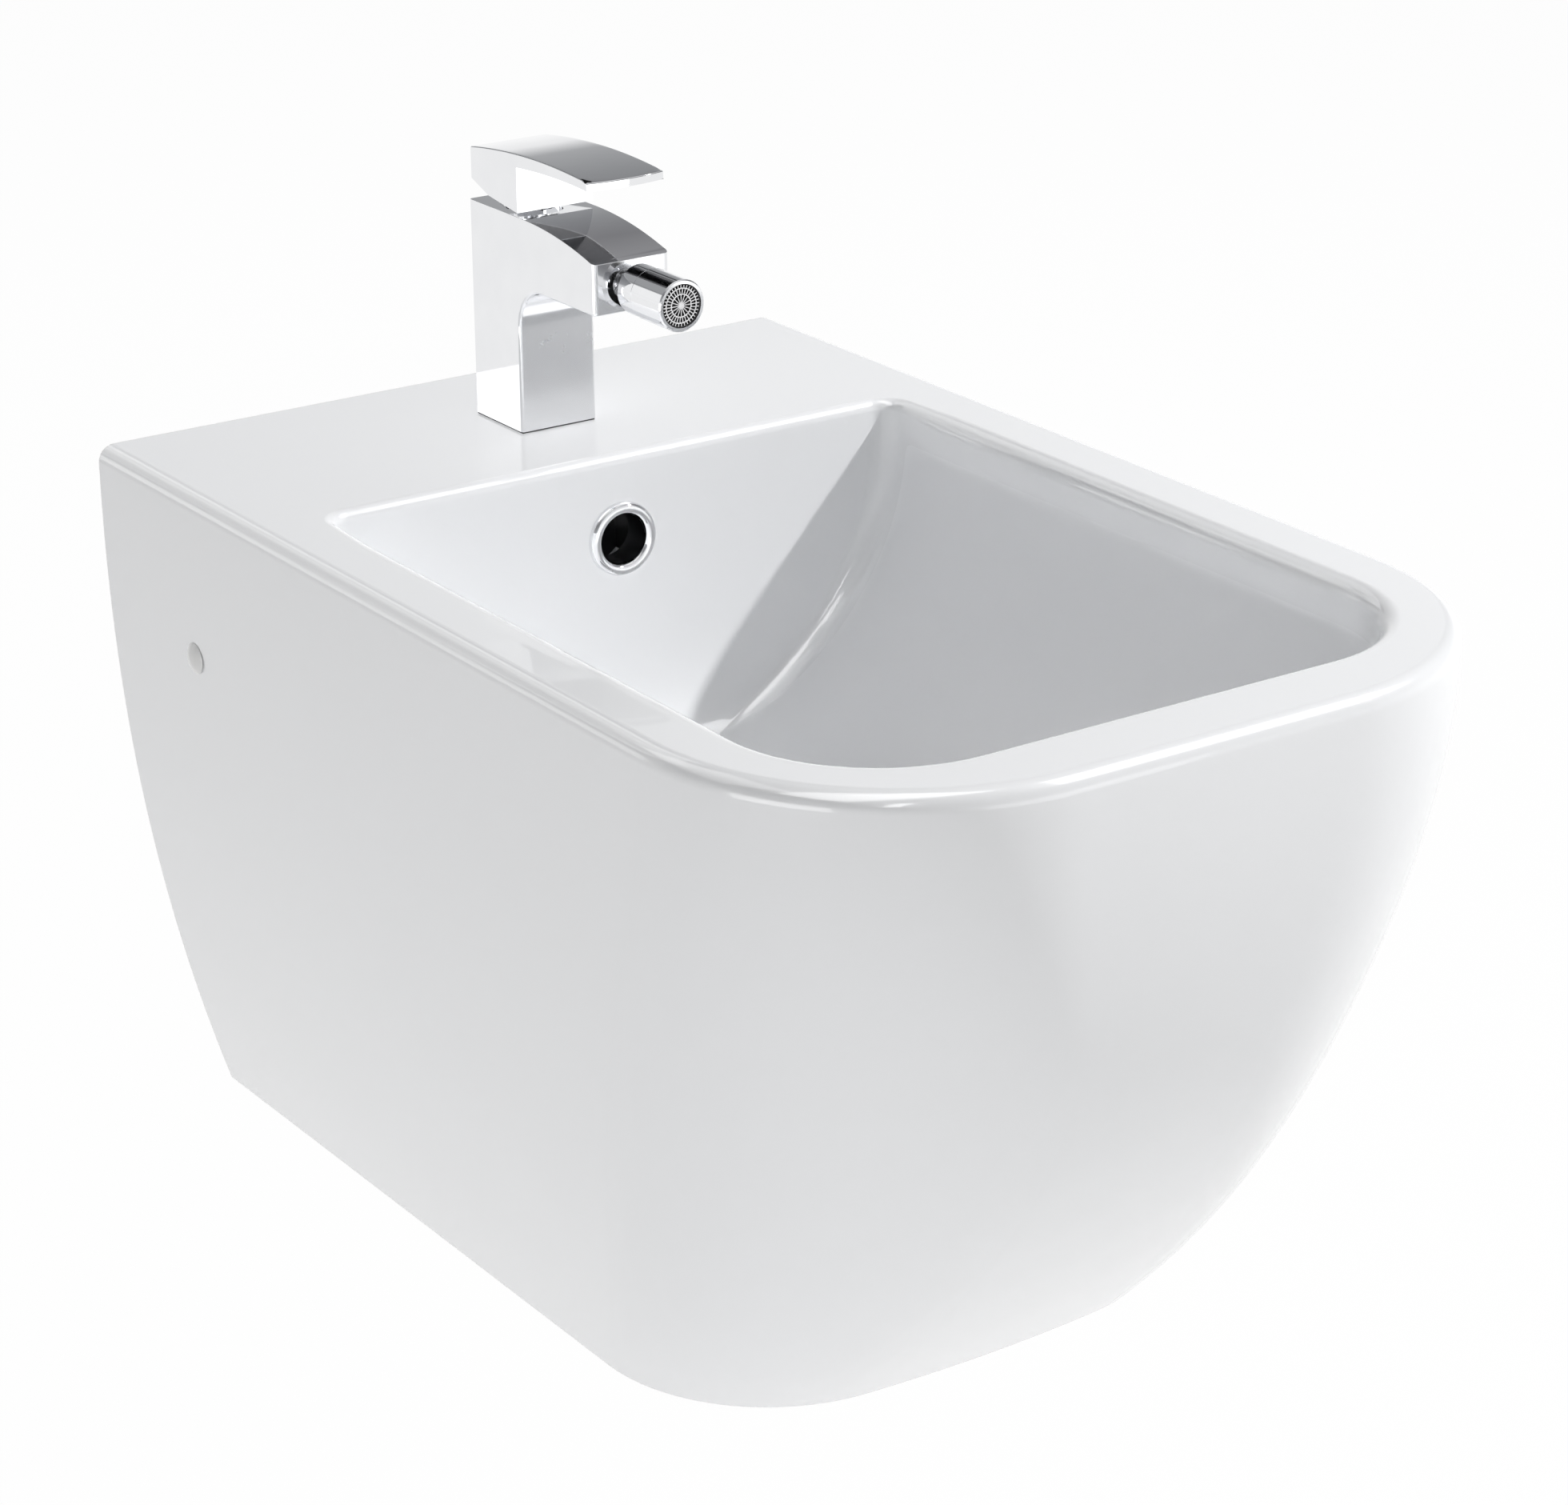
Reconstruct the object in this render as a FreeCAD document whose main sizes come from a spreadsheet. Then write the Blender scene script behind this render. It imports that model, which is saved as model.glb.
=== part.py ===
import FreeCAD, Part
import math
import os
import Sketcher

# Wall-hung bidet: a glazed ceramic bowl hung on two wall studs, with a single-lever mixer tap that has a
# ball-jointed nozzle, a chromed overflow ring and a push-open waste.
# Frame: +Z up, +X to the right as the user faces the wall, the wall is the plane Y = 0 and the bowl reaches
# towards -Y. The origin lies on the wall midway between the two wall studs. All sizes are in millimetres.

SIZES = {
    # ceramic shell
    "width": 360,
    "depth": 553,
    "height": 320,
    "side_inset": 47,
    "side_power": 2.13,
    "front_inset": 138.6,
    "front_power": 2.1,
    "corner_top": 114.5,
    "corner_swell": 20,
    "corner_bottom": 80.2,
    "front_radius_top": 8000,
    "front_radius_bottom": 694,
    "rim_band": 12,
    "rim_round": 7.7,
    "skirt_wall": 12,
    "deck_plate": 14,
    "rear_wall": 14,
    "rear_trim": 2,
    # basin
    "deck_depth": 143.4,
    "basin_width": 289.6,
    "front_rim": 41.2,
    "basin_corner": 61.3,
    "basin_back_corner": 10,
    "basin_band": 10,
    "basin_round": 6,
    "basin_depth": 132.65,
    "basin_wall": 11,
    "basin_front_power": 0.7,
    "basin_flat_power": 2.5,
    "basin_back_sweep": 25,
    "basin_back_power": 8,
    # wall fixing
    "stud_spacing": 180,
    "fixing_drop": 75,
    "fixing_reach": 81,
    "sleeve_bore": 30,
    "sleeve_flange": 38,
    "sleeve_flange_thickness": 3,
    "barrel_diameter": 24,
    "barrel_length": 95,
    "stud_bore": 12.5,
    "stud_bore_depth": 60,
    "side_screw_diameter": 8,
    "side_screw_head": 11.6,
    "side_screw_head_height": 4,
    "side_screw_engaged": 8,
    "side_bore": 12.4,
    "side_bore_depth": 6,
    "side_cap_diameter": 14,
    "side_cap_rise": 2.2,
    "side_cap_plug": 1.6,
    "side_cap_gap": 0.5,
    "service_width": 210,
    "service_drop": 118,
    "service_corner": 20,
    # overflow
    "overflow_drop": 38.3,
    "overflow_bore": 26,
    "overflow_ring_diameter": 33.5,
    "overflow_ring_bore": 22.6,
    "overflow_ring_land": 1.2,
    "overflow_ring_rise": 2.5,
    "overflow_seat_gap": 0.1,
    "overflow_tube_length": 12,
    "channel_width": 28,
    "channel_gap": 14,
    "channel_wall": 6,
    "channel_set": 2,
    # waste
    "waste_setback": 238,
    "waste_bore": 46,
    "boss_diameter": 80,
    "boss_height": 34,
    "waste_flange": 62,
    "waste_flange_thickness": 2.5,
    "waste_flange_bevel": 1,
    "waste_seal": 1.5,
    "tail_diameter": 41.9,
    "tail_bore": 34,
    "tail_length": 104,
    "tail_relief_width": 2,
    "tail_relief_depth": 1,
    "waste_seat_diameter": 42,
    "overflow_slot": 12,
    "spider_drop": 52,
    "spider_height": 6,
    "spider_bar": 6,
    "spider_hub": 17,
    "gasket_diameter": 70,
    "gasket_height": 8,
    "lock_nut_diameter": 60,
    "lock_nut_height": 9,
    "lock_nut_sides": 8,
    "plug_diameter": 60,
    "plug_edge": 2.2,
    "plug_crown": 3,
    "plug_seat_gap": 0.5,
    "plug_hub_diameter": 15,
    "plug_hub_length": 14,
    "plug_seal_depth": 2.4,
    "click_diameter": 12,
    "click_length": 30,
    "click_head": 15,
    "click_head_height": 3,
    "click_stem_diameter": 6,
    "click_stem_length": 62,
    "spring_wire": 1.1,
    "spring_wire_sides": 8,
    "spring_diameter": 10,
    "spring_turns": 5,
    # tap body
    "tap_setback": 74,
    "tap_hole": 35,
    "tap_width": 38.5,
    "tap_length": 40,
    "tap_seal_thickness": 0.8,
    "tap_seal_inset": 0.6,
    "tap_top": 98.5,
    "spout_reach": 82,
    "spout_under": 67.5,
    "spout_arch": 19,
    "spout_crown_start": 23,
    "spout_crown": 216,
    "spout_corner": 5,
    "tap_edge": 1.5,
    "nozzle_height": 78.5,
    "nozzle_recess": 20,
    "nozzle_recess_depth": 5,
    "nozzle_thread": 10,
    "nozzle_thread_depth": 11,
    "water_way": 7,
    "cartridge_bore": 27.4,
    "cartridge_floor": 60,
    "inlet_spacing": 15,
    "inlet_setback": 2,
    "inlet_bore": 9.2,
    "inlet_depth": 12,
    "port_spacing": 12,
    "port_setback": 5,
    "port_diameter": 4.9,
    "tap_stud_diameter": 6,
    "tap_stud_offset": 9,
    "tap_stud_engaged": 12,
    "tap_stud_length": 62,
    "clamp_washer_diameter": 46,
    "hose_clearance": 1,
    "clamp_rubber_thickness": 3,
    "clamp_plate_thickness": 2,
    "stud_nut_width": 11,
    "stud_nut_height": 16,
    # cartridge
    "distributor_height": 6,
    "disc_height": 3,
    "disc_wall": 2,
    "housing_diameter": 25,
    "guide_shoulder": 89,
    "housing_lid": 2,
    "housing_neck": 18.4,
    "housing_neck_top": 98,
    "guide_neck": 15,
    "guide_bottom": 82,
    "guide_top": 97,
    "carrier_diameter": 15.4,
    "carrier_height": 9,
    "carrier_offset": 2.3,
    "carrier_socket_depth": 5.2,
    "stem_diameter": 6.4,
    "stem_ball": 5,
    "stem_neck": 3.6,
    "pivot_height": 91.5,
    "pivot_arm": 12.5,
    "pivot_pin": 3,
    "pivot_pin_length": 14,
    "stem_shoulder": 101,
    "stem_square": 8.4,
    "stem_top": 113.5,
    "slot_room_low": 4.2,
    "slot_room_high": 2.5,
    "cartridge_nut_top": 97,
    "shroud_top": 100,
    "shroud_crown": 24,
    # lever handle
    "lever_width": 38.5,
    "lever_back": 17.3,
    "lever_front": 80.4,
    "lever_back_top": 122.5,
    "lever_front_top": 125.1,
    "lever_top_radius": 390,
    "lever_lip": 3.6,
    "lever_root": 21,
    "lever_root_top": 120.5,
    "lever_root_bottom": 100.3,
    "lever_knee": 3.2,
    "lever_knee_height": 103.3,
    "lever_heel_height": 108.4,
    "lever_bow": 2.2,
    "lever_edge": 0.6,
    "lever_cavity": 29,
    "lever_cavity_top": 108,
    "lever_boss_bottom": 105.5,
    "lever_boss": 15,
    "grub_diameter": 5,
    "grub_length": 9,
    "grub_height": 111.2,
    "indicator_diameter": 6.4,
    # nozzle
    "ball_diameter": 16,
    "ball_standoff": 9,
    "ball_neck": 9,
    "ball_flange_thickness": 2.5,
    "ball_flat": 6.5,
    "ball_seat_thickness": 1.1,
    "ball_seat_rear": 2.8,
    "ball_seat_front": 4.8,
    "collar_diameter": 22.2,
    "collar_rear": 4.5,
    "collar_rear_diameter": 19,
    "collar_front": 7,
    "collar_bore": 19.4,
    "sleeve_diameter": 22.7,
    "sleeve_reach": 30,
    "sleeve_wall": 1.8,
    "nozzle_edge": 0.6,
    "seal_ring_bore": 12,
    "seal_ring_height": 2,
    "aerator_height": 6,
    "aerator_recess": 0.6,
    "aerator_screen": 1.4,
    "aerator_wall": 0.55,
    "aerator_hub": 2.8,
    "aerator_core": 9.4,
    "aerator_middle": 14.6,
    "aerator_core_slots": 16,
    "aerator_middle_slots": 30,
    "aerator_outer_slots": 36,
    "aerator_rib": 0.35,
    "aerator_ring": 0.45,
    # fits
    "thread_fit": 0.06,
    "running_fit": 0.05,
    "moving_gap": 0.3,
    "loose_gap": 0.2,
}

# Shares of the skirt's height, below its straight rim, at which the shell's outline is drawn, and the angles
# down the bowl's quarter ellipse, below its straight mouth, at which the basin's outline is drawn.
SHELL_STATIONS = (0.0, 0.25, 0.5, 0.75, 1.0)
BOWL_ANGLES = (0, 18, 36, 54, 68, 75)

# Two measures this close count as the same when edges are picked out.
TOUCH = 0.01

doc = FreeCAD.newDocument("WallHungBidet")
sheet = doc.addObject("Spreadsheet::Sheet", "Sizes")


class Value:
    """A number worked out from the sheet: its formula for the document and what it comes to."""

    def __init__(self, formula, number):
        self.formula = formula
        self.number = number

    @staticmethod
    def of(item):
        if isinstance(item, Value):
            return item
        return Value(repr(float(item)), float(item))

    def joined(self, sign, other, number):
        return Value(f"({self.formula} {sign} {other.formula})", number)

    def __add__(self, other):
        other = Value.of(other)
        return self.joined("+", other, self.number + other.number)

    def __radd__(self, other):
        return Value.of(other) + self

    def __sub__(self, other):
        other = Value.of(other)
        return self.joined("-", other, self.number - other.number)

    def __rsub__(self, other):
        return Value.of(other) - self

    def __mul__(self, other):
        other = Value.of(other)
        return self.joined("*", other, self.number * other.number)

    def __rmul__(self, other):
        return Value.of(other) * self

    def __truediv__(self, other):
        other = Value.of(other)
        return self.joined("/", other, self.number / other.number)

    def __rtruediv__(self, other):
        return Value.of(other) / self

    def __pow__(self, other):
        other = Value.of(other)
        return self.joined("^", other, self.number ** other.number)

    def __neg__(self):
        return 0 - self


class SizeBook:
    """Gives each cell of the sheet as a Value, by its alias."""

    def __getattr__(self, alias):
        return Value("Sizes." + alias, float(SIZES[alias]))


s = SizeBook()


def root(value):
    return Value(f"sqrt({value.formula})", math.sqrt(value.number))


def sine(degrees):
    degrees = Value.of(degrees)
    return Value(f"sin({degrees.formula})", math.sin(math.radians(degrees.number)))


def cosine(degrees):
    degrees = Value.of(degrees)
    return Value(f"cos({degrees.formula})", math.cos(math.radians(degrees.number)))


def fill_sheet():
    """Writes each driving size into its own cell, under its alias."""
    for row, (alias, number) in enumerate(SIZES.items(), start=1):
        sheet.set(f"A{row}", alias.replace("_", " "))
        sheet.set(f"B{row}", str(number))
        sheet.setAlias(f"B{row}", alias)
    doc.recompute()


# Sketches and features

BODIES = []


def new_body(label, at=(0, 0, 0), turn=None):
    """Starts a sub-part whose own origin stands at the point at, turned by turn."""
    body = doc.addObject("PartDesign::Body", label)
    body.Label = label
    if turn is not None:
        body.Placement = FreeCAD.Placement(FreeCAD.Vector(), turn)
    for axis, place in zip("xyz", at):
        body.setExpression(f"Placement.Base.{axis}", Value.of(place).formula)
    BODIES.append(body)
    return body


def origin_item(body, role):
    return next(item for item in body.Origin.OriginFeatures if item.Role == role)


def new_sketch(body, plane, offset=None):
    """Starts a sketch on one of the body's own planes, moved along its normal by offset."""
    sketch = body.newObject("Sketcher::SketchObject", body.Label + "_sketch")
    sketch.AttachmentSupport = (origin_item(body, plane), [""])
    sketch.MapMode = "FlatFace"
    if offset is not None:
        sketch.setExpression("AttachmentOffset.Base.z", Value.of(offset).formula)
    return sketch


def bind(sketch, constraint, value):
    """Adds a constraint whose size follows the sheet."""
    index = sketch.addConstraint(constraint)
    sketch.setExpression(f"Constraints[{index}]", value.formula)


def hold_point(sketch, geometry, end, point):
    """Fixes a point of a sketch by its two coordinates."""
    for kind, value in zip(("DistanceX", "DistanceY"), point):
        value = Value.of(value)
        bind(sketch, Sketcher.Constraint(kind, -1, 1, geometry, end, value.number), value)


def arc_centre(start, finish, radius):
    """Centre of the short arc from start to finish: a positive radius turns to the left."""
    chord = finish - start
    middle = (start + finish) * 0.5
    rise = math.sqrt(max(radius * radius - chord.Length ** 2 / 4, 0.0))
    left = FreeCAD.Vector(-chord.y, chord.x, 0).normalize()
    return middle + left * math.copysign(rise, radius)


def add_outline(sketch, corners):
    """Draws a closed outline through corners (x, y) or (x, y, radius of the arc to the next corner)."""
    first = sketch.GeometryCount
    corners = [corner if len(corner) == 3 else (corner[0], corner[1], None) for corner in corners]
    ends = []
    for corner, following in zip(corners, corners[1:] + corners[:1]):
        start = FreeCAD.Vector(Value.of(corner[0]).number, Value.of(corner[1]).number)
        finish = FreeCAD.Vector(Value.of(following[0]).number, Value.of(following[1]).number)
        if corner[2] is None:
            sketch.addGeometry(Part.LineSegment(start, finish))
            ends.append((1, 2))
            continue
        radius = Value.of(corner[2]).number
        centre = arc_centre(start, finish, radius)
        points = (start, finish) if radius > 0 else (finish, start)
        angles = [math.atan2(point.y - centre.y, point.x - centre.x) for point in points]
        circle = Part.Circle(centre, FreeCAD.Vector(0, 0, 1), abs(radius))
        sketch.addGeometry(Part.ArcOfCircle(circle, *angles))
        ends.append((1, 2) if radius > 0 else (2, 1))
    count = len(corners)
    for index in range(count):
        following = (index + 1) % count
        joint = Sketcher.Constraint(
            "Coincident", first + index, ends[index][1], first + following, ends[following][0])
        sketch.addConstraint(joint)
    for index, corner in enumerate(corners):
        hold_point(sketch, first + index, ends[index][0], corner[:2])
        if corner[2] is not None:
            radius = Value.of(corner[2])
            size = radius if radius.number > 0 else -radius
            bind(sketch, Sketcher.Constraint("Radius", first + index, size.number), size)
    return sketch


def add_circle(sketch, centre, radius):
    """Draws a circle held by its centre and radius."""
    radius = Value.of(radius)
    place = FreeCAD.Vector(*(Value.of(part).number for part in centre))
    index = sketch.addGeometry(Part.Circle(place, FreeCAD.Vector(0, 0, 1), radius.number))
    bind(sketch, Sketcher.Constraint("Radius", index, radius.number), radius)
    hold_point(sketch, index, 3, centre)
    return sketch


def rectangle(left, low, right, high):
    return [(left, low), (right, low), (right, high), (left, high)]


def pad(body, sketch, length, symmetric=False, reverse=False):
    """Adds material from a sketch, along its normal or to both sides of it."""
    feature = body.newObject("PartDesign::Pad", body.Label + "_pad")
    feature.Profile = sketch
    feature.setExpression("Length", Value.of(length).formula)
    feature.SideType = "Symmetric" if symmetric else "One side"
    feature.Reversed = reverse
    return feature


def pocket(body, sketch, length=None, along_normal=False, symmetric=False):
    """Cuts a sketch out against its normal, or along it; with no length, through everything."""
    doc.recompute()
    before = body.Shape.Volume
    feature = body.newObject("PartDesign::Pocket", body.Label + "_pocket")
    feature.Profile = sketch
    if length is None:
        feature.Type = "ThroughAll"
    else:
        feature.setExpression("Length", Value.of(length).formula)
    feature.SideType = "Symmetric" if symmetric else "One side"
    feature.Reversed = along_normal
    doc.recompute()
    if not body.Shape.Volume < before:
        raise RuntimeError(f"a pocket in {body.Label} cuts nothing")
    return feature


def bore(body, plane, centre, diameter, length=None, offset=None, along_normal=False):
    """Cuts a round hole."""
    sketch = add_circle(new_sketch(body, plane, offset), centre, diameter / 2)
    return pocket(body, sketch, length, along_normal)


def revolve(body, corners):
    """Turns a profile of (radius, height) corners about the body's own Z axis."""
    sketch = add_outline(new_sketch(body, "XZ_Plane"), corners)
    feature = body.newObject("PartDesign::Revolution", body.Label + "_turned")
    feature.Profile = sketch
    feature.ReferenceAxis = (sketch, ["V_Axis"])
    feature.Angle = 360
    return feature


def turned(label, corners, at=(0, 0, 0), turn=None):
    """Makes a whole sub-part by turning one profile."""
    body = new_body(label, at, turn)
    revolve(body, corners)
    return body


def ring(inner, outer, low, high):
    return rectangle(inner / 2, low, outer / 2, high)


def loft(body, kind, sketches, ruled=False):
    """Joins outlines at several heights, smoothly or, where ruled, with straight walls between them."""
    feature = body.newObject("PartDesign::" + kind, body.Label + "_loft")
    feature.Profile = sketches[0]
    feature.Sections = sketches[1:]
    feature.Ruled = ruled
    return feature


def round_edges(body, radius, chosen):
    """Rounds the edges of the body so far for which chosen(edge) is true."""
    doc.recompute()
    base = body.Tip
    names = [f"Edge{index}" for index, edge in enumerate(base.Shape.Edges, start=1) if chosen(edge)]
    if not names:
        raise RuntimeError(f"no edge to round on {body.Label}")
    feature = body.newObject("PartDesign::Fillet", body.Label + "_round")
    feature.Base = (base, names)
    feature.setExpression("Radius", Value.of(radius).formula)
    doc.recompute()
    return feature


def near(first, second):
    return abs(first - second) < TOUCH


def level_edge(edge, height):
    """True for an edge that lies in the level plane at that height."""
    return near(edge.BoundBox.ZMin, height.number) and near(edge.BoundBox.ZMax, height.number)


# Places that several sub-parts share

DECK = s.fixing_drop
TAP_FOOT = (0, -s.tap_setback, DECK)
BASIN_FLOOR = s.basin_band + s.basin_depth * sine(BOWL_ANGLES[-1])
WASTE_TOP = (0, -s.waste_setback, DECK - BASIN_FLOOR)
BALL_CENTRE = (0, -(s.tap_setback + s.spout_reach + s.ball_standoff), DECK + s.nozzle_height)
TO_FRONT = FreeCAD.Rotation(FreeCAD.Vector(1, 0, 0), 90)
TO_BACK = FreeCAD.Rotation(FreeCAD.Vector(1, 0, 0), -90)
TO_RIGHT = FreeCAD.Rotation(FreeCAD.Vector(0, 1, 0), 90)
TO_LEFT = FreeCAD.Rotation(FreeCAD.Vector(0, 1, 0), -90)


# Ceramic body

def skirt_half_width(share):
    return s.width / 2 - s.side_inset * Value.of(share) ** s.side_power


def shell_outline(share, inset, back):
    """Outline of the shell at a share of its skirt: straight back and sides, arced corners and front."""
    share = Value.of(share)
    half = skirt_half_width(share) - inset
    front = s.depth - s.front_inset * share ** s.front_power - inset
    hump = 4 * share * (1 - share)
    swell = s.corner_swell * hump * hump
    corner = s.corner_top + (s.corner_bottom - s.corner_top) * share * share + swell - inset
    curve = 1 / ((1 - share) / s.front_radius_top + share / s.front_radius_bottom) - inset
    gap = curve - corner
    across = half - corner
    along = root(gap * gap - across * across)
    corner_y = curve - front - along
    touch_x = across * curve / gap
    touch_y = curve - front - along * curve / gap
    return [
        (half, -back),
        (-half, -back),
        (-half, corner_y, corner),
        (-touch_x, touch_y, curve),
        (touch_x, touch_y, corner),
        (half, corner_y),
    ]


def bowl_outline(angle, grow):
    """Outline of the bowl at an angle down its quarter ellipse, grown outwards by grow."""
    level = cosine(angle)
    half = s.basin_width / 2 * level + grow * level
    back = s.deck_depth + s.basin_back_sweep * sine(angle) ** s.basin_back_power - grow
    reach = s.depth - s.front_rim - s.deck_depth
    front = s.deck_depth + reach * level ** s.basin_front_power + grow
    flat = (s.basin_width / 2 - s.basin_corner) * level ** s.basin_flat_power
    corner = half - flat
    nook = s.basin_back_corner + grow * level
    return [
        (half, -(back + nook), nook),
        (half - nook, -back),
        (-(half - nook), -back, nook),
        (-half, -(back + nook)),
        (-half, -(front - corner), corner),
        (-(half - corner), -front),
        (half - corner, -front, corner),
        (half, -(front - corner)),
    ]


def ceramic_body():
    """The glazed shell: skirt, deck, hanging basin, overflow channel and the holes for the fittings."""
    body = new_body("ceramic_body", (0, 0, DECK))

    def shell(inset, back, top):
        sketches = []
        for share in SHELL_STATIONS:
            level = new_sketch(body, "XY_Plane", -(top + share * (s.height - top)))
            sketches.append(add_outline(level, shell_outline(share, inset, back)))
        return sketches

    def bowl(grow):
        sketches = []
        for angle in BOWL_ANGLES:
            level = new_sketch(body, "XY_Plane", -(s.basin_band + (s.basin_depth + grow) * sine(angle)))
            sketches.append(add_outline(level, bowl_outline(angle, grow)))
        return sketches

    def mouth(grow):
        return add_outline(new_sketch(body, "XY_Plane"), bowl_outline(BOWL_ANGLES[0], grow))

    flush = Value.of(0)
    rim = shell_outline(SHELL_STATIONS[0], flush, -s.rear_trim)
    pad(body, add_outline(new_sketch(body, "XY_Plane"), rim), s.rim_band, reverse=True)
    loft(body, "AdditiveLoft", shell(flush, -s.rear_trim, s.rim_band))
    half = s.width / 2 + s.rear_trim
    beyond = rectangle(-half, -s.height - s.rear_trim, half, s.rear_trim)
    pocket(body, add_outline(new_sketch(body, "XZ_Plane"), beyond), 2 * s.rear_trim)
    loft(body, "SubtractiveLoft", shell(s.skirt_wall, s.rear_wall, s.deck_plate), ruled=True)
    pad(body, mouth(s.basin_wall), s.basin_band, reverse=True)
    loft(body, "AdditiveLoft", bowl(s.basin_wall), ruled=True)
    channel_and_boss(body)
    pocket(body, mouth(flush), s.basin_band)
    loft(body, "SubtractiveLoft", bowl(flush))
    overflow_channel(body)
    shell_holes(body)
    shell_rounds(body)
    return body


def channel_places():
    """Heights and setbacks of the overflow channel behind and under the basin."""
    front = s.deck_depth - s.basin_wall - s.channel_set
    back = front - s.channel_gap
    top = s.overflow_drop - s.overflow_bore / 2 - s.channel_set
    bottom = BASIN_FLOOR + s.boss_height - s.channel_wall
    return front, back, top, bottom


def channel_and_boss(body):
    """Adds the walls of the overflow channel and the thick boss round the waste hole."""
    front, back, top, bottom = channel_places()
    outer_back = -(back - s.channel_wall)
    walls = [
        (-s.deck_depth, -s.deck_plate / 2),
        (outer_back, -s.deck_plate / 2),
        (outer_back, -(bottom + s.channel_wall)),
        (-s.waste_setback, -(bottom + s.channel_wall)),
        (-s.waste_setback, -BASIN_FLOOR),
        (-s.deck_depth, -BASIN_FLOOR),
    ]
    outline = add_outline(new_sketch(body, "YZ_Plane"), walls)
    pad(body, outline, s.channel_width + 2 * s.channel_wall, symmetric=True)
    floor = new_sketch(body, "XY_Plane", -BASIN_FLOOR)
    boss = add_circle(floor, (0, -s.waste_setback), s.boss_diameter / 2)
    pad(body, boss, s.boss_height, reverse=True)


def overflow_channel(body):
    """Cuts the way from the overflow hole down behind the basin and forward to the waste."""
    front, back, top, bottom = channel_places()
    floor = bottom - s.channel_gap
    bore(body, "XY_Plane", (0, -s.waste_setback), s.waste_bore)
    way = [
        (-front, -top),
        (-front, -floor),
        (-s.waste_setback, -floor),
        (-s.waste_setback, -bottom),
        (-back, -bottom),
        (-back, -top),
    ]
    outline = add_outline(new_sketch(body, "YZ_Plane"), way)
    pocket(body, outline, s.channel_width, symmetric=True)
    reach = s.deck_depth - front + s.channel_set
    bore(body, "XZ_Plane", (0, -s.overflow_drop), s.overflow_bore, reach, offset=front, along_normal=True)


def shell_holes(body):
    """Cuts the tap hole, the fixing holes and the service opening in the rear wall."""
    bore(body, "XY_Plane", (0, -s.tap_setback), s.tap_hole, s.deck_plate)
    for side in (-1, 1):
        place = (side * s.stud_spacing / 2, -s.fixing_drop)
        bore(body, "XZ_Plane", place, s.sleeve_bore, s.rear_wall, along_normal=True)
    cross = (-s.fixing_reach, -s.fixing_drop)
    shank = s.side_screw_diameter + 2 * s.moving_gap
    through = add_circle(new_sketch(body, "YZ_Plane"), cross, shank / 2)
    pocket(body, through, s.width, symmetric=True)
    seat = side_seat()
    bore(body, "YZ_Plane", cross, s.side_bore, offset=seat, along_normal=True)
    bore(body, "YZ_Plane", cross, s.side_bore, offset=-seat)
    half = s.service_width / 2
    corner = s.service_corner
    opening = [
        (-half, -s.height),
        (half, -s.height),
        (half, -(s.service_drop + corner), corner),
        (half - corner, -s.service_drop),
        (-(half - corner), -s.service_drop, corner),
        (-half, -(s.service_drop + corner)),
    ]
    pocket(body, add_outline(new_sketch(body, "XZ_Plane"), opening), s.rear_wall, along_normal=True)


def side_seat():
    """Distance from the centre plane to the floor of the counterbore for a side screw."""
    share = (s.fixing_drop - s.rim_band) / (s.height - s.rim_band)
    return skirt_half_width(share) - s.side_bore_depth


def shell_rounds(body):
    """Rounds the outer rim along the sides and front, and the basin's edge all round."""
    side = (s.basin_width / 2 + s.basin_round).number
    front = -(s.depth - s.front_rim + s.basin_round).number
    back = -(s.deck_depth - s.basin_round).number

    def basin_rim(edge):
        middle = edge.CenterOfMass
        return level_edge(edge, Value.of(0)) and abs(middle.x) < side and front < middle.y < back

    def outer_rim(edge):
        middle = edge.CenterOfMass
        outside = abs(middle.x) > side or middle.y < front
        return level_edge(edge, Value.of(0)) and outside and not near(middle.y, 0)

    round_edges(body, s.rim_round, outer_rim)
    round_edges(body, s.basin_round, basin_rim)


# Wall fixing

def wall_fixing():
    """Studs' barrels in their sleeves, and the side screws that clamp the shell to them, under caps."""
    for side, name, inwards, outwards in ((-1, "left", TO_RIGHT, TO_LEFT), (1, "right", TO_LEFT, TO_RIGHT)):
        x = side * s.stud_spacing / 2
        barrel_radius = s.barrel_diameter / 2
        turned(f"fixing_sleeve_{name}", [
            (barrel_radius + s.running_fit, 0),
            (s.sleeve_bore / 2 - s.thread_fit, 0),
            (s.sleeve_bore / 2 - s.thread_fit, s.rear_wall),
            (s.sleeve_flange / 2, s.rear_wall),
            (s.sleeve_flange / 2, s.rear_wall + s.sleeve_flange_thickness),
            (barrel_radius + s.running_fit, s.rear_wall + s.sleeve_flange_thickness),
        ], (x, 0, 0), TO_FRONT)
        barrel = turned(f"fixing_barrel_{name}", [
            (s.stud_bore / 2, 0),
            (barrel_radius, 0),
            (barrel_radius, s.barrel_length),
            (0, s.barrel_length),
            (0, s.stud_bore_depth),
            (s.stud_bore / 2, s.stud_bore_depth),
        ], (x, 0, 0), TO_FRONT)
        cross = s.side_screw_diameter + 2 * s.thread_fit
        bore(barrel, "YZ_Plane", (0, s.fixing_reach), cross, barrel_radius, along_normal=side > 0)
        plug = s.side_bore / 2 - s.thread_fit
        cap_radius = s.side_cap_diameter / 2
        dome = (cap_radius * cap_radius + s.side_cap_rise * s.side_cap_rise) / (2 * s.side_cap_rise)
        face = side_seat() + s.side_bore_depth + s.side_cap_gap
        turned(f"side_cap_{name}", [
            (0, -s.side_cap_plug),
            (plug, -s.side_cap_plug),
            (plug, 0),
            (cap_radius, 0, dome),
            (0, s.side_cap_rise),
        ], (side * face, -s.fixing_reach, 0), outwards)


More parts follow.
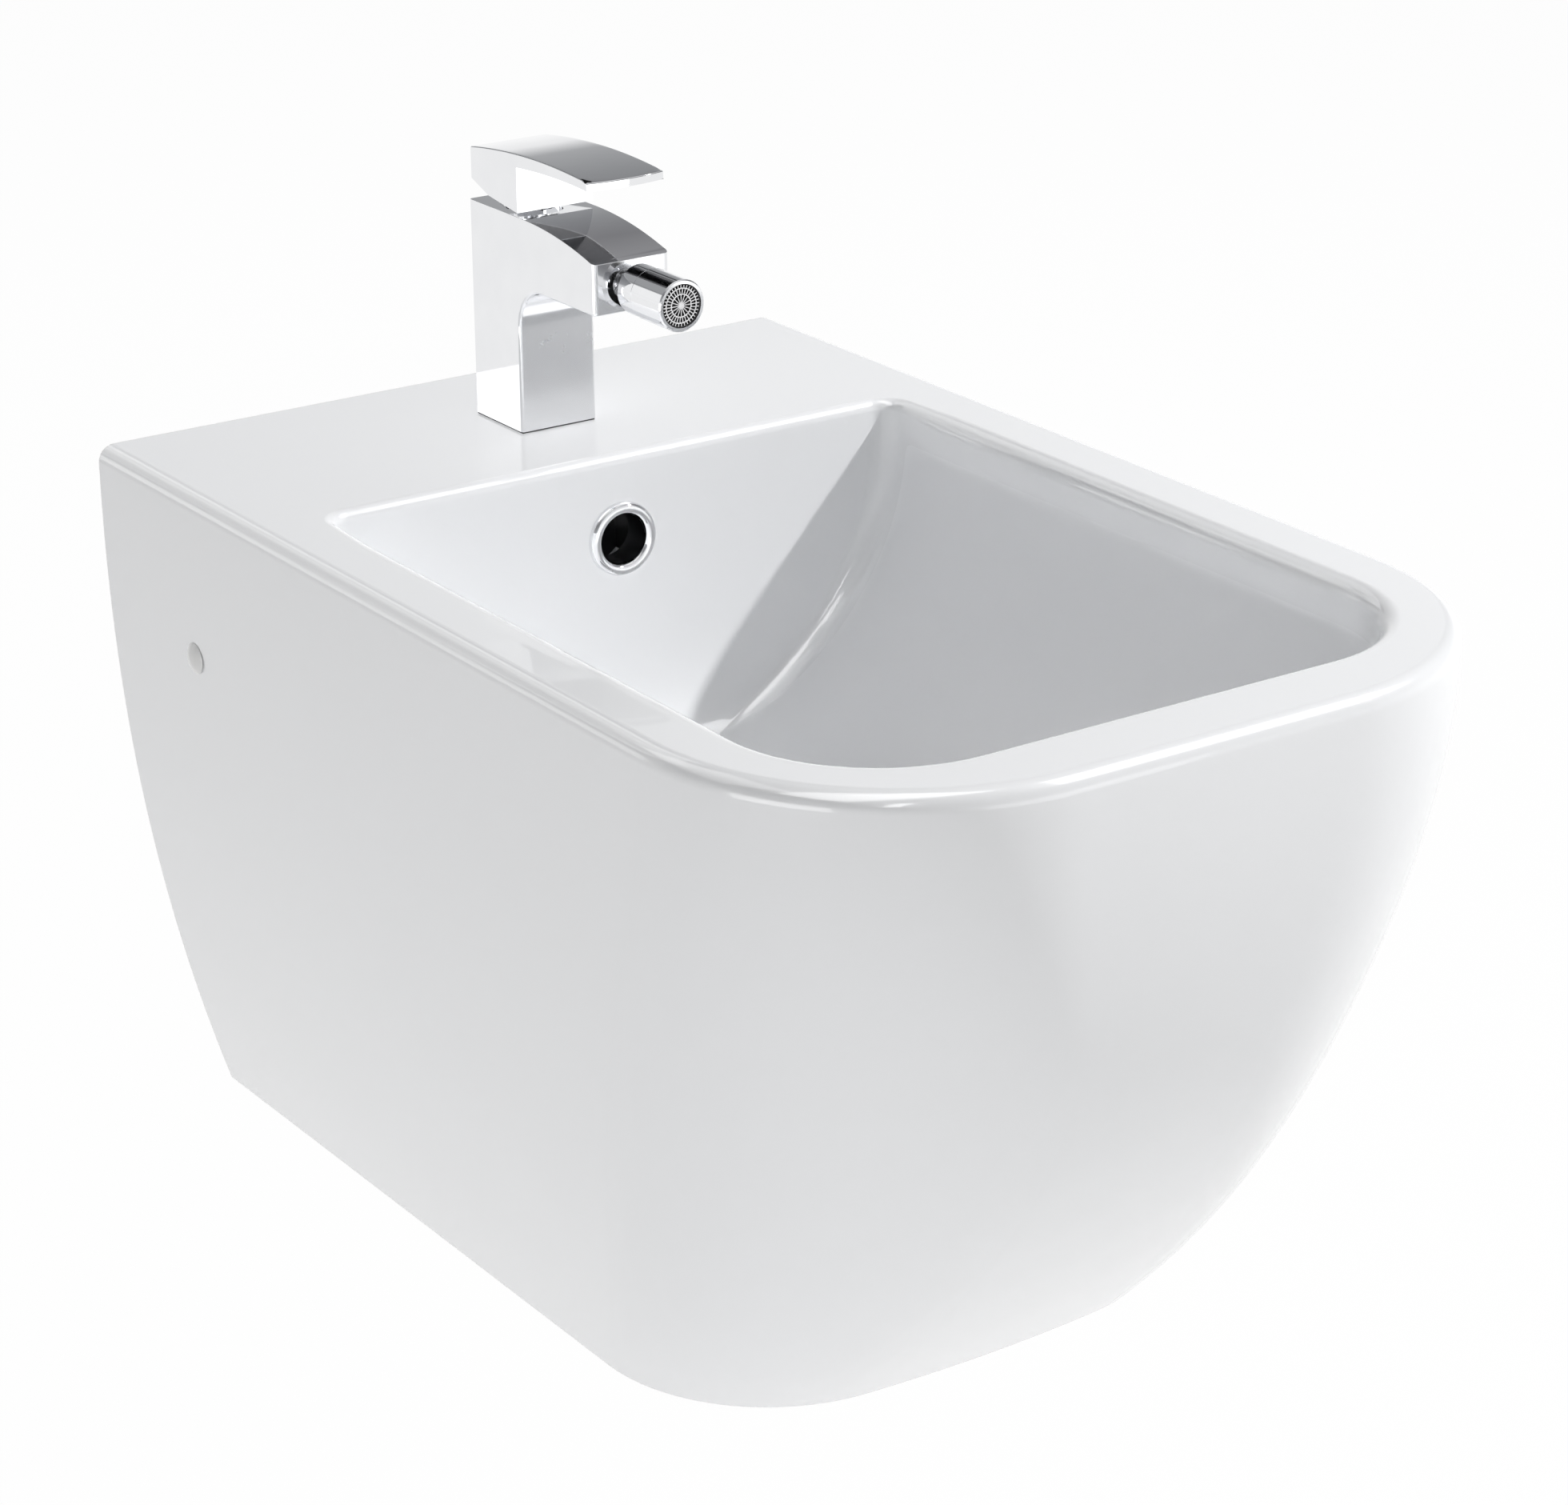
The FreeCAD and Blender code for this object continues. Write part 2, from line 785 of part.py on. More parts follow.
def side_screws():
    """The pair of long side screws: heads in the shell's counterbores, tips in the barrels' cross holes."""
    tip = s.stud_spacing / 2 + s.barrel_diameter / 2 - s.side_screw_engaged
    radius = s.side_screw_diameter / 2
    seat = side_seat()
    pair = []
    for side, turn in ((-1, TO_LEFT), (1, TO_RIGHT)):
        shank = Part.makeCylinder(radius.number, (seat - tip).number)
        head = Part.makeCylinder((s.side_screw_head / 2).number, s.side_screw_head_height.number)
        head.translate(FreeCAD.Vector(0, 0, (seat - tip).number))
        screw = shank.fuse(head).removeSplitter()
        screw.Placement = FreeCAD.Placement(
            FreeCAD.Vector(side * tip.number, -s.fixing_reach.number, 0), turn)
        pair.append(screw)
    feature = doc.addObject("Part::Feature", "side_screws")
    feature.Label = "side_screws"
    feature.Shape = Part.makeCompound(pair)
    BODIES.append(feature)


# Overflow

def overflow_ring():
    """Chromed ring with a rounded lip on the basin's back wall and a tube into the overflow hole."""
    inner = s.overflow_ring_bore / 2
    outer = s.overflow_ring_diameter / 2
    tube = s.overflow_bore / 2 - s.moving_gap
    lip = (outer - inner) / 2
    crown = (lip * lip + s.overflow_ring_rise * s.overflow_ring_rise) / (2 * s.overflow_ring_rise)
    turned("overflow_ring", [
        (inner, -s.overflow_tube_length),
        (tube, -s.overflow_tube_length),
        (tube, 0),
        (outer, 0),
        (outer, s.overflow_ring_land, crown),
        (outer - lip, s.overflow_ring_land + s.overflow_ring_rise, crown),
        (inner, s.overflow_ring_land),
    ], (0, -(s.deck_depth + s.overflow_seat_gap), DECK - s.overflow_drop), TO_FRONT)


# Waste

def waste():
    """Push-open waste, measured from the basin floor at its own axis."""
    flange_low = s.waste_seal
    flange_top = flange_low + s.waste_flange_thickness
    tail = s.tail_diameter / 2
    way = s.tail_bore / 2
    seat = s.waste_seat_diameter / 2
    under = -s.boss_height
    relief_top = under - s.gasket_height - s.lock_nut_height - s.tail_relief_width
    relief_low = relief_top - s.tail_relief_width
    body = turned("waste_body", [
        (way, -s.tail_length),
        (tail, -s.tail_length),
        (tail, relief_low),
        (tail - s.tail_relief_depth, relief_low),
        (tail - s.tail_relief_depth, relief_top),
        (tail, relief_top),
        (tail, flange_low),
        (s.waste_flange / 2, flange_low),
        (s.waste_flange / 2, flange_top - s.waste_flange_bevel),
        (s.waste_flange / 2 - s.waste_flange_bevel, flange_top),
        (seat, flange_top),
        (way, flange_top - (seat - way)),
    ], WASTE_TOP)
    bar = add_outline(
        new_sketch(body, "XY_Plane", -s.spider_drop),
        rectangle(-(way + tail) / 2, -s.spider_bar / 2, (way + tail) / 2, s.spider_bar / 2))
    pad(body, bar, s.spider_height, reverse=True)
    hub = add_circle(new_sketch(body, "XY_Plane", -s.spider_drop), (0, 0), s.spider_hub / 2)
    pad(body, hub, s.spider_height, reverse=True)
    bore(body, "XY_Plane", (0, 0), s.click_diameter + 2 * s.thread_fit)
    slot_middle = -(s.boss_height - s.channel_wall - s.channel_gap / 2)
    slot = rectangle(
        -s.overflow_slot / 2, slot_middle - s.overflow_slot / 2,
        s.overflow_slot / 2, slot_middle + s.overflow_slot / 2)
    pocket(body, add_outline(new_sketch(body, "XZ_Plane"), slot), s.waste_flange, symmetric=True)

    flange_hole = s.tail_diameter + 2 * s.running_fit
    seal_edge = s.waste_flange - 2 * s.waste_flange_bevel
    turned("waste_flange_seal", ring(flange_hole, seal_edge, 0, flange_low), WASTE_TOP)
    turned("waste_gasket", [
        (flange_hole / 2, under - s.gasket_height),
        (s.gasket_diameter / 2 - s.gasket_height / 2, under - s.gasket_height),
        (s.gasket_diameter / 2, under - s.gasket_height / 2),
        (s.gasket_diameter / 2, under),
        (flange_hole / 2, under),
    ], WASTE_TOP)
    lock_nut(under - s.gasket_height)
    click_fitting(flange_top)


def lock_nut(top):
    """Many-sided nut that draws the waste down on its gasket."""
    body = new_body("waste_lock_nut", WASTE_TOP)
    sides = int(SIZES["lock_nut_sides"])
    corners = []
    for index in range(sides):
        angle = 360 * (index + 0.5) / sides
        corners.append((s.lock_nut_diameter / 2 * cosine(angle), s.lock_nut_diameter / 2 * sine(angle)))
    outline = add_outline(new_sketch(body, "XY_Plane", top), corners)
    add_circle(outline, (0, 0), s.tail_diameter / 2 + s.thread_fit)
    pad(body, outline, s.lock_nut_height, reverse=True)


def click_fitting(flange_top):
    """The plug and its push-open mechanism on the waste's spider."""
    body_top = -s.spider_drop + s.click_head_height
    turned("click_body", [
        (s.click_stem_diameter / 2 + s.moving_gap, body_top),
        (s.click_head / 2, body_top),
        (s.click_head / 2, -s.spider_drop),
        (s.click_diameter / 2, -s.spider_drop),
        (s.click_diameter / 2, -s.spider_drop - s.click_length),
        (0, -s.spider_drop - s.click_length),
        (0, -s.spider_drop - s.click_length + s.spider_height / 2),
        (s.click_stem_diameter / 2 + s.moving_gap, -s.spider_drop - s.click_length + s.spider_height / 2),
    ], WASTE_TOP)
    cap_low = flange_top + s.plug_seat_gap
    cap_edge = cap_low + s.plug_edge
    plug = s.plug_diameter / 2
    hub = s.plug_hub_diameter / 2
    crown = (plug * plug + s.plug_crown * s.plug_crown) / (2 * s.plug_crown)
    hub_low = cap_low - s.plug_hub_length
    stem = s.click_stem_diameter / 2
    turned("plug_cap", [
        (0, hub_low + s.spider_height),
        (stem + s.thread_fit, hub_low + s.spider_height),
        (stem + s.thread_fit, hub_low),
        (hub, hub_low),
        (hub, cap_low),
        (plug, cap_low),
        (plug, cap_edge, crown),
        (0, cap_edge + s.plug_crown),
    ], WASTE_TOP)
    seat = s.waste_seat_diameter / 2
    seal_outer = seat - s.plug_seal_depth
    turned("plug_seal", [
        (hub + s.running_fit, cap_low),
        (hub + s.running_fit, cap_low - s.plug_seal_depth),
        (seal_outer - s.plug_seal_depth, cap_low - s.plug_seal_depth),
        (seal_outer, cap_low),
    ], WASTE_TOP)
    turned("click_stem", [
        (0, hub_low + s.spider_height - s.click_stem_length),
        (stem, hub_low + s.spider_height - s.click_stem_length),
        (stem, hub_low + s.spider_height),
        (0, hub_low + s.spider_height),
    ], WASTE_TOP)
    click_spring(body_top, hub_low)


def biarc(start, start_way, finish, finish_way):
    """Two arcs in space that leave start and reach finish along the given unit directions."""
    chord = finish - start
    ways = start_way + finish_way
    across = chord.dot(ways)
    spread = 2 * (1 - start_way.dot(finish_way))
    reach = (math.sqrt(across * across + spread * chord.dot(chord)) - across) / spread
    first_knee = start + start_way * reach
    last_knee = finish - finish_way * reach
    middle = (first_knee + last_knee) * 0.5
    half_way = (last_knee - first_knee).normalize()
    edges = []
    for begin, begin_way, end in ((start, start_way, middle), (middle, half_way, finish)):
        run = end - begin
        normal = (run - begin_way * run.dot(begin_way)).normalize()
        radius = run.dot(run) / (2 * run.dot(normal))
        centre = begin + normal * radius
        bisector = (begin + end) * 0.5 - centre
        edges.append(Part.Arc(begin, centre + bisector.normalize() * radius, end).toShape())
    return edges


def click_spring(low, high):
    """Helical return spring round the click stem, as one unbroken wire of whole turns."""
    wire = s.spring_wire.number
    radius = (s.spring_diameter.number - wire) / 2
    foot = low.number + wire / 2 + s.loose_gap.number
    rise = high.number - wire / 2 - s.loose_gap.number - foot
    steps = 2 * int(SIZES["spring_turns"])
    turn = math.pi
    pitch = rise / steps

    def point(index):
        return FreeCAD.Vector(
            radius * math.cos(index * turn), radius * math.sin(index * turn), foot + index * pitch)

    def way(index):
        speed = radius * turn
        return FreeCAD.Vector(
            -speed * math.sin(index * turn), speed * math.cos(index * turn), pitch).normalize()

    edges = []
    for index in range(steps):
        edges += biarc(point(index), way(index), point(index + 1), way(index + 1))
    path = Part.Wire(edges)
    outwards = FreeCAD.Vector(1, 0, 0)
    across = way(0).cross(outwards)
    sides = int(SIZES["spring_wire_sides"])
    corners = []
    for index in range(sides + 1):
        angle = 2 * math.pi * index / sides
        corner = outwards * math.cos(angle) + across * math.sin(angle)
        corners.append(point(0) + corner * (wire / 2))
    section = Part.makePolygon(corners)
    feature = doc.addObject("Part::Feature", "click_spring")
    feature.Label = "click_spring"
    feature.Shape = path.makePipeShell([section], True, False)
    feature.Placement = FreeCAD.Placement(
        FreeCAD.Vector(*(Value.of(part).number for part in WASTE_TOP)), FreeCAD.Rotation())
    BODIES.append(feature)
    print(f"click_spring: gap between turns {2 * pitch - wire:.2f} mm")


# Tap

def tap_body():
    """Cast body of the mixer: square column, arched spout, cartridge bore, water ways, threaded holes."""
    body = new_body("tap_body", TAP_FOOT)
    back = s.tap_length / 2
    fall = s.spout_reach - s.spout_crown_start
    lip = s.tap_top - (s.spout_crown - root(s.spout_crown * s.spout_crown - fall * fall))
    profile = [
        (back, s.tap_seal_thickness),
        (back, s.tap_top),
        (-s.spout_crown_start, s.tap_top, s.spout_crown),
        (-s.spout_reach, lip),
        (-s.spout_reach, s.spout_under),
        (-(back + s.spout_arch), s.spout_under, -s.spout_arch),
        (-back, s.spout_under - s.spout_arch),
        (-back, s.tap_seal_thickness),
    ]
    pad(body, add_outline(new_sketch(body, "YZ_Plane"), profile), s.tap_width, symmetric=True)

    def upright_corner(edge):
        box = edge.BoundBox
        upright = not near(box.ZMin, box.ZMax)
        return near(box.YMin, -s.spout_reach.number) and near(box.YMax, box.YMin) and upright

    round_edges(body, s.spout_corner, upright_corner)

    def flank_edge(edge):
        box = edge.BoundBox
        at_side = near(abs(edge.CenterOfMass.x), s.tap_width.number / 2) and near(box.XMin, box.XMax)
        low = near(box.ZMax, s.tap_seal_thickness.number)
        high = box.ZMin > (s.spout_under + s.tap_edge).number and not near(box.YMin, box.YMax)
        return at_side and not low and not high

    round_edges(body, s.tap_edge, flank_edge)
    bore(body, "XY_Plane", (0, 0), s.cartridge_bore, s.tap_top - s.cartridge_floor, offset=s.tap_top)
    face = s.spout_reach
    height = s.nozzle_height
    bore(body, "XZ_Plane", (0, height), s.nozzle_recess, s.nozzle_recess_depth, face)
    depth = s.nozzle_recess_depth + s.nozzle_thread_depth
    bore(body, "XZ_Plane", (0, height), s.nozzle_thread + 2 * s.thread_fit, depth, face)
    bore(body, "XZ_Plane", (0, height), s.water_way, face, face)
    for side in (-1, 1):
        place = (side * s.inlet_spacing / 2, s.inlet_setback)
        bore(body, "XY_Plane", place, s.inlet_bore, s.tap_seal_thickness + s.inlet_depth, along_normal=True)
        bore(body, "XY_Plane", place, s.water_way, s.cartridge_floor, along_normal=True)
    stud = s.tap_stud_diameter + 2 * s.thread_fit
    bore(body, "XY_Plane", (0, -s.tap_stud_offset), stud, s.tap_seal_thickness + s.tap_stud_engaged,
         along_normal=True)
    return body


def tap_fixing():
    """Seal under the tap, and the stud, washers and nut that clamp it to the deck from below."""
    seal = new_body("tap_base_seal", TAP_FOOT)
    half_x = s.tap_width / 2 - s.tap_seal_inset
    half_y = s.tap_length / 2 - s.tap_seal_inset
    outline = add_outline(new_sketch(seal, "XY_Plane"), rectangle(-half_x, -half_y, half_x, half_y))
    add_circle(outline, (0, 0), s.tap_hole / 2)
    pad(seal, outline, s.tap_seal_thickness)

    under = -s.deck_plate
    low = under
    for label, thickness in (
            ("clamp_rubber", s.clamp_rubber_thickness), ("clamp_plate", s.clamp_plate_thickness)):
        washer = new_body(label, TAP_FOOT)
        disc = add_circle(new_sketch(washer, "XY_Plane", low), (0, 0), s.clamp_washer_diameter / 2)
        pad(washer, disc, thickness, reverse=True)
        room = s.inlet_bore / 2 + s.hose_clearance
        half = s.inlet_spacing / 2 + room
        slot = rectangle(-half, s.inlet_setback - room, half, s.clamp_washer_diameter)
        pocket(washer, add_outline(new_sketch(washer, "XY_Plane", under), slot))
        stud_hole = s.tap_stud_diameter + 2 * s.moving_gap
        bore(washer, "XY_Plane", (0, -s.tap_stud_offset), stud_hole, offset=under)
        low = low - thickness

    stud_at = (0, -s.tap_setback - s.tap_stud_offset, DECK)
    stud_top = s.tap_seal_thickness + s.tap_stud_engaged
    stud = s.tap_stud_diameter / 2
    turned("tap_stud", [
        (0, stud_top - s.tap_stud_length),
        (stud, stud_top - s.tap_stud_length),
        (stud, stud_top),
        (0, stud_top),
    ], stud_at)
    nut = new_body("tap_stud_nut", stud_at)
    half = s.stud_nut_width / 2
    corner = half / cosine(30)
    corners = [(corner * cosine(angle), corner * sine(angle)) for angle in range(0, 360, 60)]
    outline = add_outline(new_sketch(nut, "XY_Plane", low), corners)
    add_circle(outline, (0, 0), stud + s.thread_fit)
    pad(nut, outline, s.stud_nut_height, reverse=True)


# Cartridge

DISTRIBUTOR_TOP = s.cartridge_floor + s.distributor_height
FIXED_DISC_TOP = DISTRIBUTOR_TOP + s.disc_height
MOVING_DISC_TOP = FIXED_DISC_TOP + s.disc_height
STEM_BALL = s.pivot_height - s.pivot_arm
HOUSING_BORE = s.housing_diameter - 2 * s.disc_wall


def port_holes(body, top):
    """Cuts the two inlet ports, and the outlet port in front of them."""
    for side in (-1, 1):
        bore(body, "XY_Plane", (side * s.port_spacing / 2, s.port_setback), s.port_diameter, offset=top)
    bore(body, "XY_Plane", (0, -s.port_setback), s.port_diameter, offset=top)


def cartridge():
    """Ceramic-disc cartridge in the tap's bore, from the distributor up to the shroud under the lever."""
    distributor = turned("cartridge_distributor", [
        (0, s.cartridge_floor),
        (s.housing_diameter / 2, s.cartridge_floor),
        (s.housing_diameter / 2, DISTRIBUTOR_TOP),
        (0, DISTRIBUTOR_TOP),
    ], TAP_FOOT)
    port_holes(distributor, DISTRIBUTOR_TOP)
    disc_radius = HOUSING_BORE / 2 - s.running_fit
    fixed = turned("fixed_disc", [
        (0, DISTRIBUTOR_TOP),
        (disc_radius, DISTRIBUTOR_TOP),
        (disc_radius, FIXED_DISC_TOP),
        (0, FIXED_DISC_TOP),
    ], TAP_FOOT)
    port_holes(fixed, FIXED_DISC_TOP)
    lid_low = s.guide_shoulder + s.moving_gap
    lid_top = lid_low + s.housing_lid
    neck_bore = s.guide_neck / 2 + s.moving_gap
    turned("cartridge_housing", [
        (HOUSING_BORE / 2, DISTRIBUTOR_TOP),
        (s.housing_diameter / 2, DISTRIBUTOR_TOP),
        (s.housing_diameter / 2, lid_top),
        (s.housing_neck / 2, lid_top),
        (s.housing_neck / 2, s.housing_neck_top),
        (neck_bore, s.housing_neck_top),
        (neck_bore, lid_low),
        (HOUSING_BORE / 2, lid_low),
    ], TAP_FOOT)
    collar_bore = s.housing_neck + 2 * s.loose_gap
    thread = s.cartridge_bore - 2 * s.thread_fit
    turned("cartridge_nut", ring(collar_bore, thread, lid_top, s.cartridge_nut_top), TAP_FOOT)
    turned("lever_shroud", [
        (collar_bore / 2, s.cartridge_nut_top),
        (thread / 2, s.cartridge_nut_top),
        (thread / 2, s.tap_top),
        (s.shroud_crown / 2, s.shroud_top),
        (collar_bore / 2, s.shroud_top),
    ], TAP_FOOT)
    moving_pieces()


def moving_pieces():
    """Sliding disc with its carrier, turning guide, pivot pin and lever stem."""
    carrier_at = (0, -s.tap_setback + s.carrier_offset, DECK)
    radius = s.carrier_diameter / 2
    turned("moving_disc", [
        (0, FIXED_DISC_TOP), (radius, FIXED_DISC_TOP), (radius, MOVING_DISC_TOP), (0, MOVING_DISC_TOP),
    ], carrier_at)
    top = MOVING_DISC_TOP + s.carrier_height
    carrier = turned("disc_carrier", [
        (0, MOVING_DISC_TOP), (radius, MOVING_DISC_TOP), (radius, top), (0, top),
    ], carrier_at)
    socket = s.stem_ball + 2 * s.moving_gap
    bore(carrier, "XY_Plane", (0, -s.carrier_offset), socket, s.carrier_socket_depth, offset=top)

    guide = turned("stem_guide", [
        (0, s.guide_bottom),
        (HOUSING_BORE / 2 - s.moving_gap, s.guide_bottom),
        (HOUSING_BORE / 2 - s.moving_gap, s.guide_shoulder),
        (s.guide_neck / 2, s.guide_shoulder),
        (s.guide_neck / 2, s.guide_top),
        (0, s.guide_top),
    ], TAP_FOOT)
    side = s.stem_diameter / 2 + s.moving_gap
    low_slot = rectangle(-side, -(side + s.slot_room_low), side, side)
    high_slot = rectangle(-side, -side, side, side + s.slot_room_high)
    pocket(guide, add_outline(new_sketch(guide, "XY_Plane", s.pivot_height), low_slot),
           s.pivot_height - s.guide_bottom)
    pocket(guide, add_outline(new_sketch(guide, "XY_Plane", s.guide_top), high_slot),
           s.guide_top - s.pivot_height)
    pin_hole = add_circle(
        new_sketch(guide, "YZ_Plane"), (0, s.pivot_height), s.pivot_pin / 2 + s.running_fit / 2)
    pocket(guide, pin_hole, s.guide_neck, symmetric=True)
    pin_at = (-s.pivot_pin_length / 2, -s.tap_setback, DECK + s.pivot_height)
    turned("pivot_pin", [
        (0, 0), (s.pivot_pin / 2, 0), (s.pivot_pin / 2, s.pivot_pin_length), (0, s.pivot_pin_length),
    ], pin_at, TO_RIGHT)

    ball = s.stem_ball / 2
    neck = s.stem_neck / 2
    neck_height = STEM_BALL + root(ball * ball - neck * neck)
    shaft = s.stem_diameter / 2
    stem = turned("lever_stem", [
        (0, STEM_BALL - ball, ball),
        (ball, STEM_BALL, ball),
        (neck, neck_height),
        (neck, s.guide_bottom),
        (shaft, s.guide_bottom + (shaft - neck)),
        (shaft, s.stem_shoulder),
        (0, s.stem_shoulder),
    ], TAP_FOOT)
    half = s.stem_square / 2
    square = add_outline(new_sketch(stem, "XY_Plane", s.stem_shoulder), rectangle(-half, -half, half, half))
    pad(stem, square, s.stem_top - s.stem_shoulder)
    stem_hole = add_circle(
        new_sketch(stem, "YZ_Plane"), (0, s.pivot_height), s.pivot_pin / 2 + s.running_fit)
    pocket(stem, stem_hole, s.stem_diameter, symmetric=True)


# Lever handle

def lever_handle():
    """Lever with a crowned blade over the spout and a hollow block that covers the cartridge."""
    body = new_body("lever_handle", TAP_FOOT)
    crown = s.lever_top_radius
    profile = [
        (s.lever_back, s.lever_heel_height),
        (s.lever_back, s.lever_back_top, crown),
        (-s.lever_front, s.lever_front_top),
        (-s.lever_front, s.lever_front_top - s.lever_lip, -crown),
        (-s.lever_root, s.lever_root_top),
        (-s.lever_root, s.lever_root_bottom),
        (s.lever_knee, s.lever_knee_height),
    ]
    pad(body, add_outline(new_sketch(body, "YZ_Plane"), profile), s.lever_width, symmetric=True)
    half = s.lever_width / 2
    bow = (half * half + s.lever_bow * s.lever_bow) / (2 * s.lever_bow)
    tip = -(s.lever_front - s.lever_bow)
    beyond = -(s.lever_front + s.lever_bow)
    trim = [(-half, tip, bow), (half, tip), (half, beyond), (-half, beyond)]
    pocket(body, add_outline(new_sketch(body, "XY_Plane"), trim), along_normal=True)

    def upper_edge(edge):
        box = edge.BoundBox
        top = s.lever_back_top.number
        room = s.lever_edge.number
        rising = box.ZMin > top - room and box.ZMax > top + room
        return rising or near(box.ZMin, top) and near(box.ZMax, top)

    round_edges(body, s.lever_edge, upper_edge)
    start = s.lever_root_bottom - s.lever_lip
    cavity = add_circle(new_sketch(body, "XY_Plane", start), (0, 0), s.lever_cavity / 2)
    add_circle(cavity, (0, 0), s.lever_boss / 2)
    pocket(body, cavity, s.lever_cavity_top - start, along_normal=True)
    bore(body, "XY_Plane", (0, 0), s.lever_boss + 2 * s.running_fit, s.lever_boss_bottom - start, start,
         along_normal=True)
    side = s.stem_square / 2 + s.running_fit
    socket = add_outline(new_sketch(body, "XY_Plane", start), rectangle(-side, -side, side, side))
    pocket(body, socket, s.stem_top - start + s.running_fit, along_normal=True)
    grub_hole = s.grub_diameter + 2 * s.thread_fit
    place = (0, s.grub_height)
    bore(body, "XZ_Plane", place, grub_hole, s.lever_back, offset=-s.lever_back, along_normal=True)
    plug_depth = s.lever_back - s.stem_square / 2 - s.grub_length
    bore(body, "XZ_Plane", place, s.indicator_diameter + 2 * s.thread_fit, plug_depth, offset=-s.lever_back,
         along_normal=True)

    flat = s.stem_square / 2
    grub_at = (0, -s.tap_setback + flat, DECK + s.grub_height)
    turned("lever_grub_screw", [
        (0, 0), (s.grub_diameter / 2, 0), (s.grub_diameter / 2, s.grub_length), (0, s.grub_length),
    ], grub_at, TO_BACK)
    plug_at = (0, -s.tap_setback + flat + s.grub_length, DECK + s.grub_height)
    plug = s.indicator_diameter / 2
    turned("indicator_plug", [
        (0, 0), (plug, 0), (plug, plug_depth), (plug - s.lever_edge, plug_depth + s.lever_edge),
        (0, plug_depth + s.lever_edge),
    ], plug_at, TO_BACK)


# Nozzle

def on_sphere(radius, along):
    """Distance from the axis of a point of a sphere about the ball's centre."""
    return root(radius * radius - along * along)


def nozzle():
    """Ball-jointed nozzle on the spout, turned about the ball's centre and pointing to the front."""
    ball = s.ball_diameter / 2
    neck = s.ball_neck / 2
    face = -s.ball_standoff
    floor = face - s.nozzle_recess_depth
    shank = s.nozzle_thread / 2
    way = s.water_way / 2
    flange = s.nozzle_recess / 2 - s.moving_gap
    neck_end = -on_sphere(ball, neck)
    turned("ball_stud", [
        (way, floor - s.nozzle_thread_depth),
        (shank, floor - s.nozzle_thread_depth),
        (shank, floor),
        (flange, floor),
        (flange, floor + s.ball_flange_thickness),
        (neck, floor + s.ball_flange_thickness),
        (neck, neck_end, ball),
        (ball, 0, ball),
        (on_sphere(ball, s.ball_flat), s.ball_flat),
        (way, s.ball_flat),
    ], BALL_CENTRE, TO_FRONT)

    seat_in = ball + s.loose_gap
    seat_out = seat_in + s.ball_seat_thickness
    rear = s.ball_seat_rear
    front = s.ball_seat_front
    turned("ball_seat", [
        (on_sphere(seat_in, rear), rear),
        (on_sphere(seat_out, rear), rear, seat_out),
        (on_sphere(seat_out, front), front),
        (on_sphere(seat_in, front), front, -seat_in),
    ], BALL_CENTRE, TO_FRONT)

    hold = ball + s.loose_gap
    outer = s.collar_diameter / 2
    bore_radius = s.collar_bore / 2
    rear_radius = s.collar_rear_diameter / 2
    slope = outer - rear_radius
    turned("nozzle_collar", [
        (on_sphere(hold, s.collar_rear), -s.collar_rear),
        (rear_radius, -s.collar_rear),
        (outer, -s.collar_rear + slope),
        (outer, s.collar_front),
        (bore_radius, s.collar_front),
        (bore_radius, 0),
        (hold, 0, -hold),
    ], BALL_CENTRE, TO_FRONT)

    barrel = s.sleeve_diameter / 2
    inside = barrel - s.sleeve_wall
    reach = s.sleeve_reach
    edge = s.nozzle_edge
    seal_low = s.collar_front
    seal_top = seal_low + s.seal_ring_height
    shelf = s.seal_ring_bore / 2
    aerator_top = reach - s.aerator_recess
    aerator_low = aerator_top - s.aerator_height
    turned("nozzle_sleeve", [
        (inside, s.collar_front),
        (barrel - edge, s.collar_front),
        (barrel, s.collar_front + edge),
        (barrel, reach - edge),
        (barrel - edge, reach),
        (inside, reach),
        (inside, aerator_low),
        (shelf, aerator_low),
        (shelf, seal_top),
        (inside, seal_top),
    ], BALL_CENTRE, TO_FRONT)
    turned("nozzle_seal", ring(
        s.seal_ring_bore, 2 * inside - 2 * s.running_fit, seal_low, seal_top), BALL_CENTRE, TO_FRONT)
    aerator(inside - s.thread_fit, aerator_low, aerator_top)


def aerator(radius, low, top):
    """Screen at the nozzle's end: a cup with a slotted face of rings and ribs."""
    screen = top - s.aerator_screen
    body = turned("aerator", [
        (0, screen), (radius - s.aerator_wall, screen), (radius - s.aerator_wall, low), (radius, low),
        (radius, top), (0, top),
    ], BALL_CENTRE, TO_FRONT)
    rows = (
        (s.aerator_hub / 2, s.aerator_core / 2, "aerator_core_slots"),
        (s.aerator_core / 2 + s.aerator_ring, s.aerator_middle / 2, "aerator_middle_slots"),
        (s.aerator_middle / 2 + s.aerator_ring, radius - s.aerator_wall, "aerator_outer_slots"),
    )
    for inner, outer, slots in rows:
        count = int(SIZES[slots])
        step = 360 / count
        rib = s.aerator_rib / 2
        inner_x = root(inner * inner - rib * rib)
        outer_x = root(outer * outer - rib * rib)
        along = cosine(step)
        across = sine(step)
        far_inner = (inner_x * along + rib * across, inner_x * across - rib * along)
        far_outer = (outer_x * along + rib * across, outer_x * across - rib * along)
        slot = [(inner_x, rib), (outer_x, rib, outer), far_outer, (*far_inner, -inner)]
        cut = pocket(body, add_outline(new_sketch(body, "XY_Plane", top), slot), s.aerator_screen)
        pattern = body.newObject("PartDesign::PolarPattern", body.Label + "_slots")
        pattern.Originals = [cut]
        pattern.Axis = (origin_item(body, "Z_Axis"), [""])
        pattern.Angle = 360
        pattern.Occurrences = count
        body.Tip = pattern


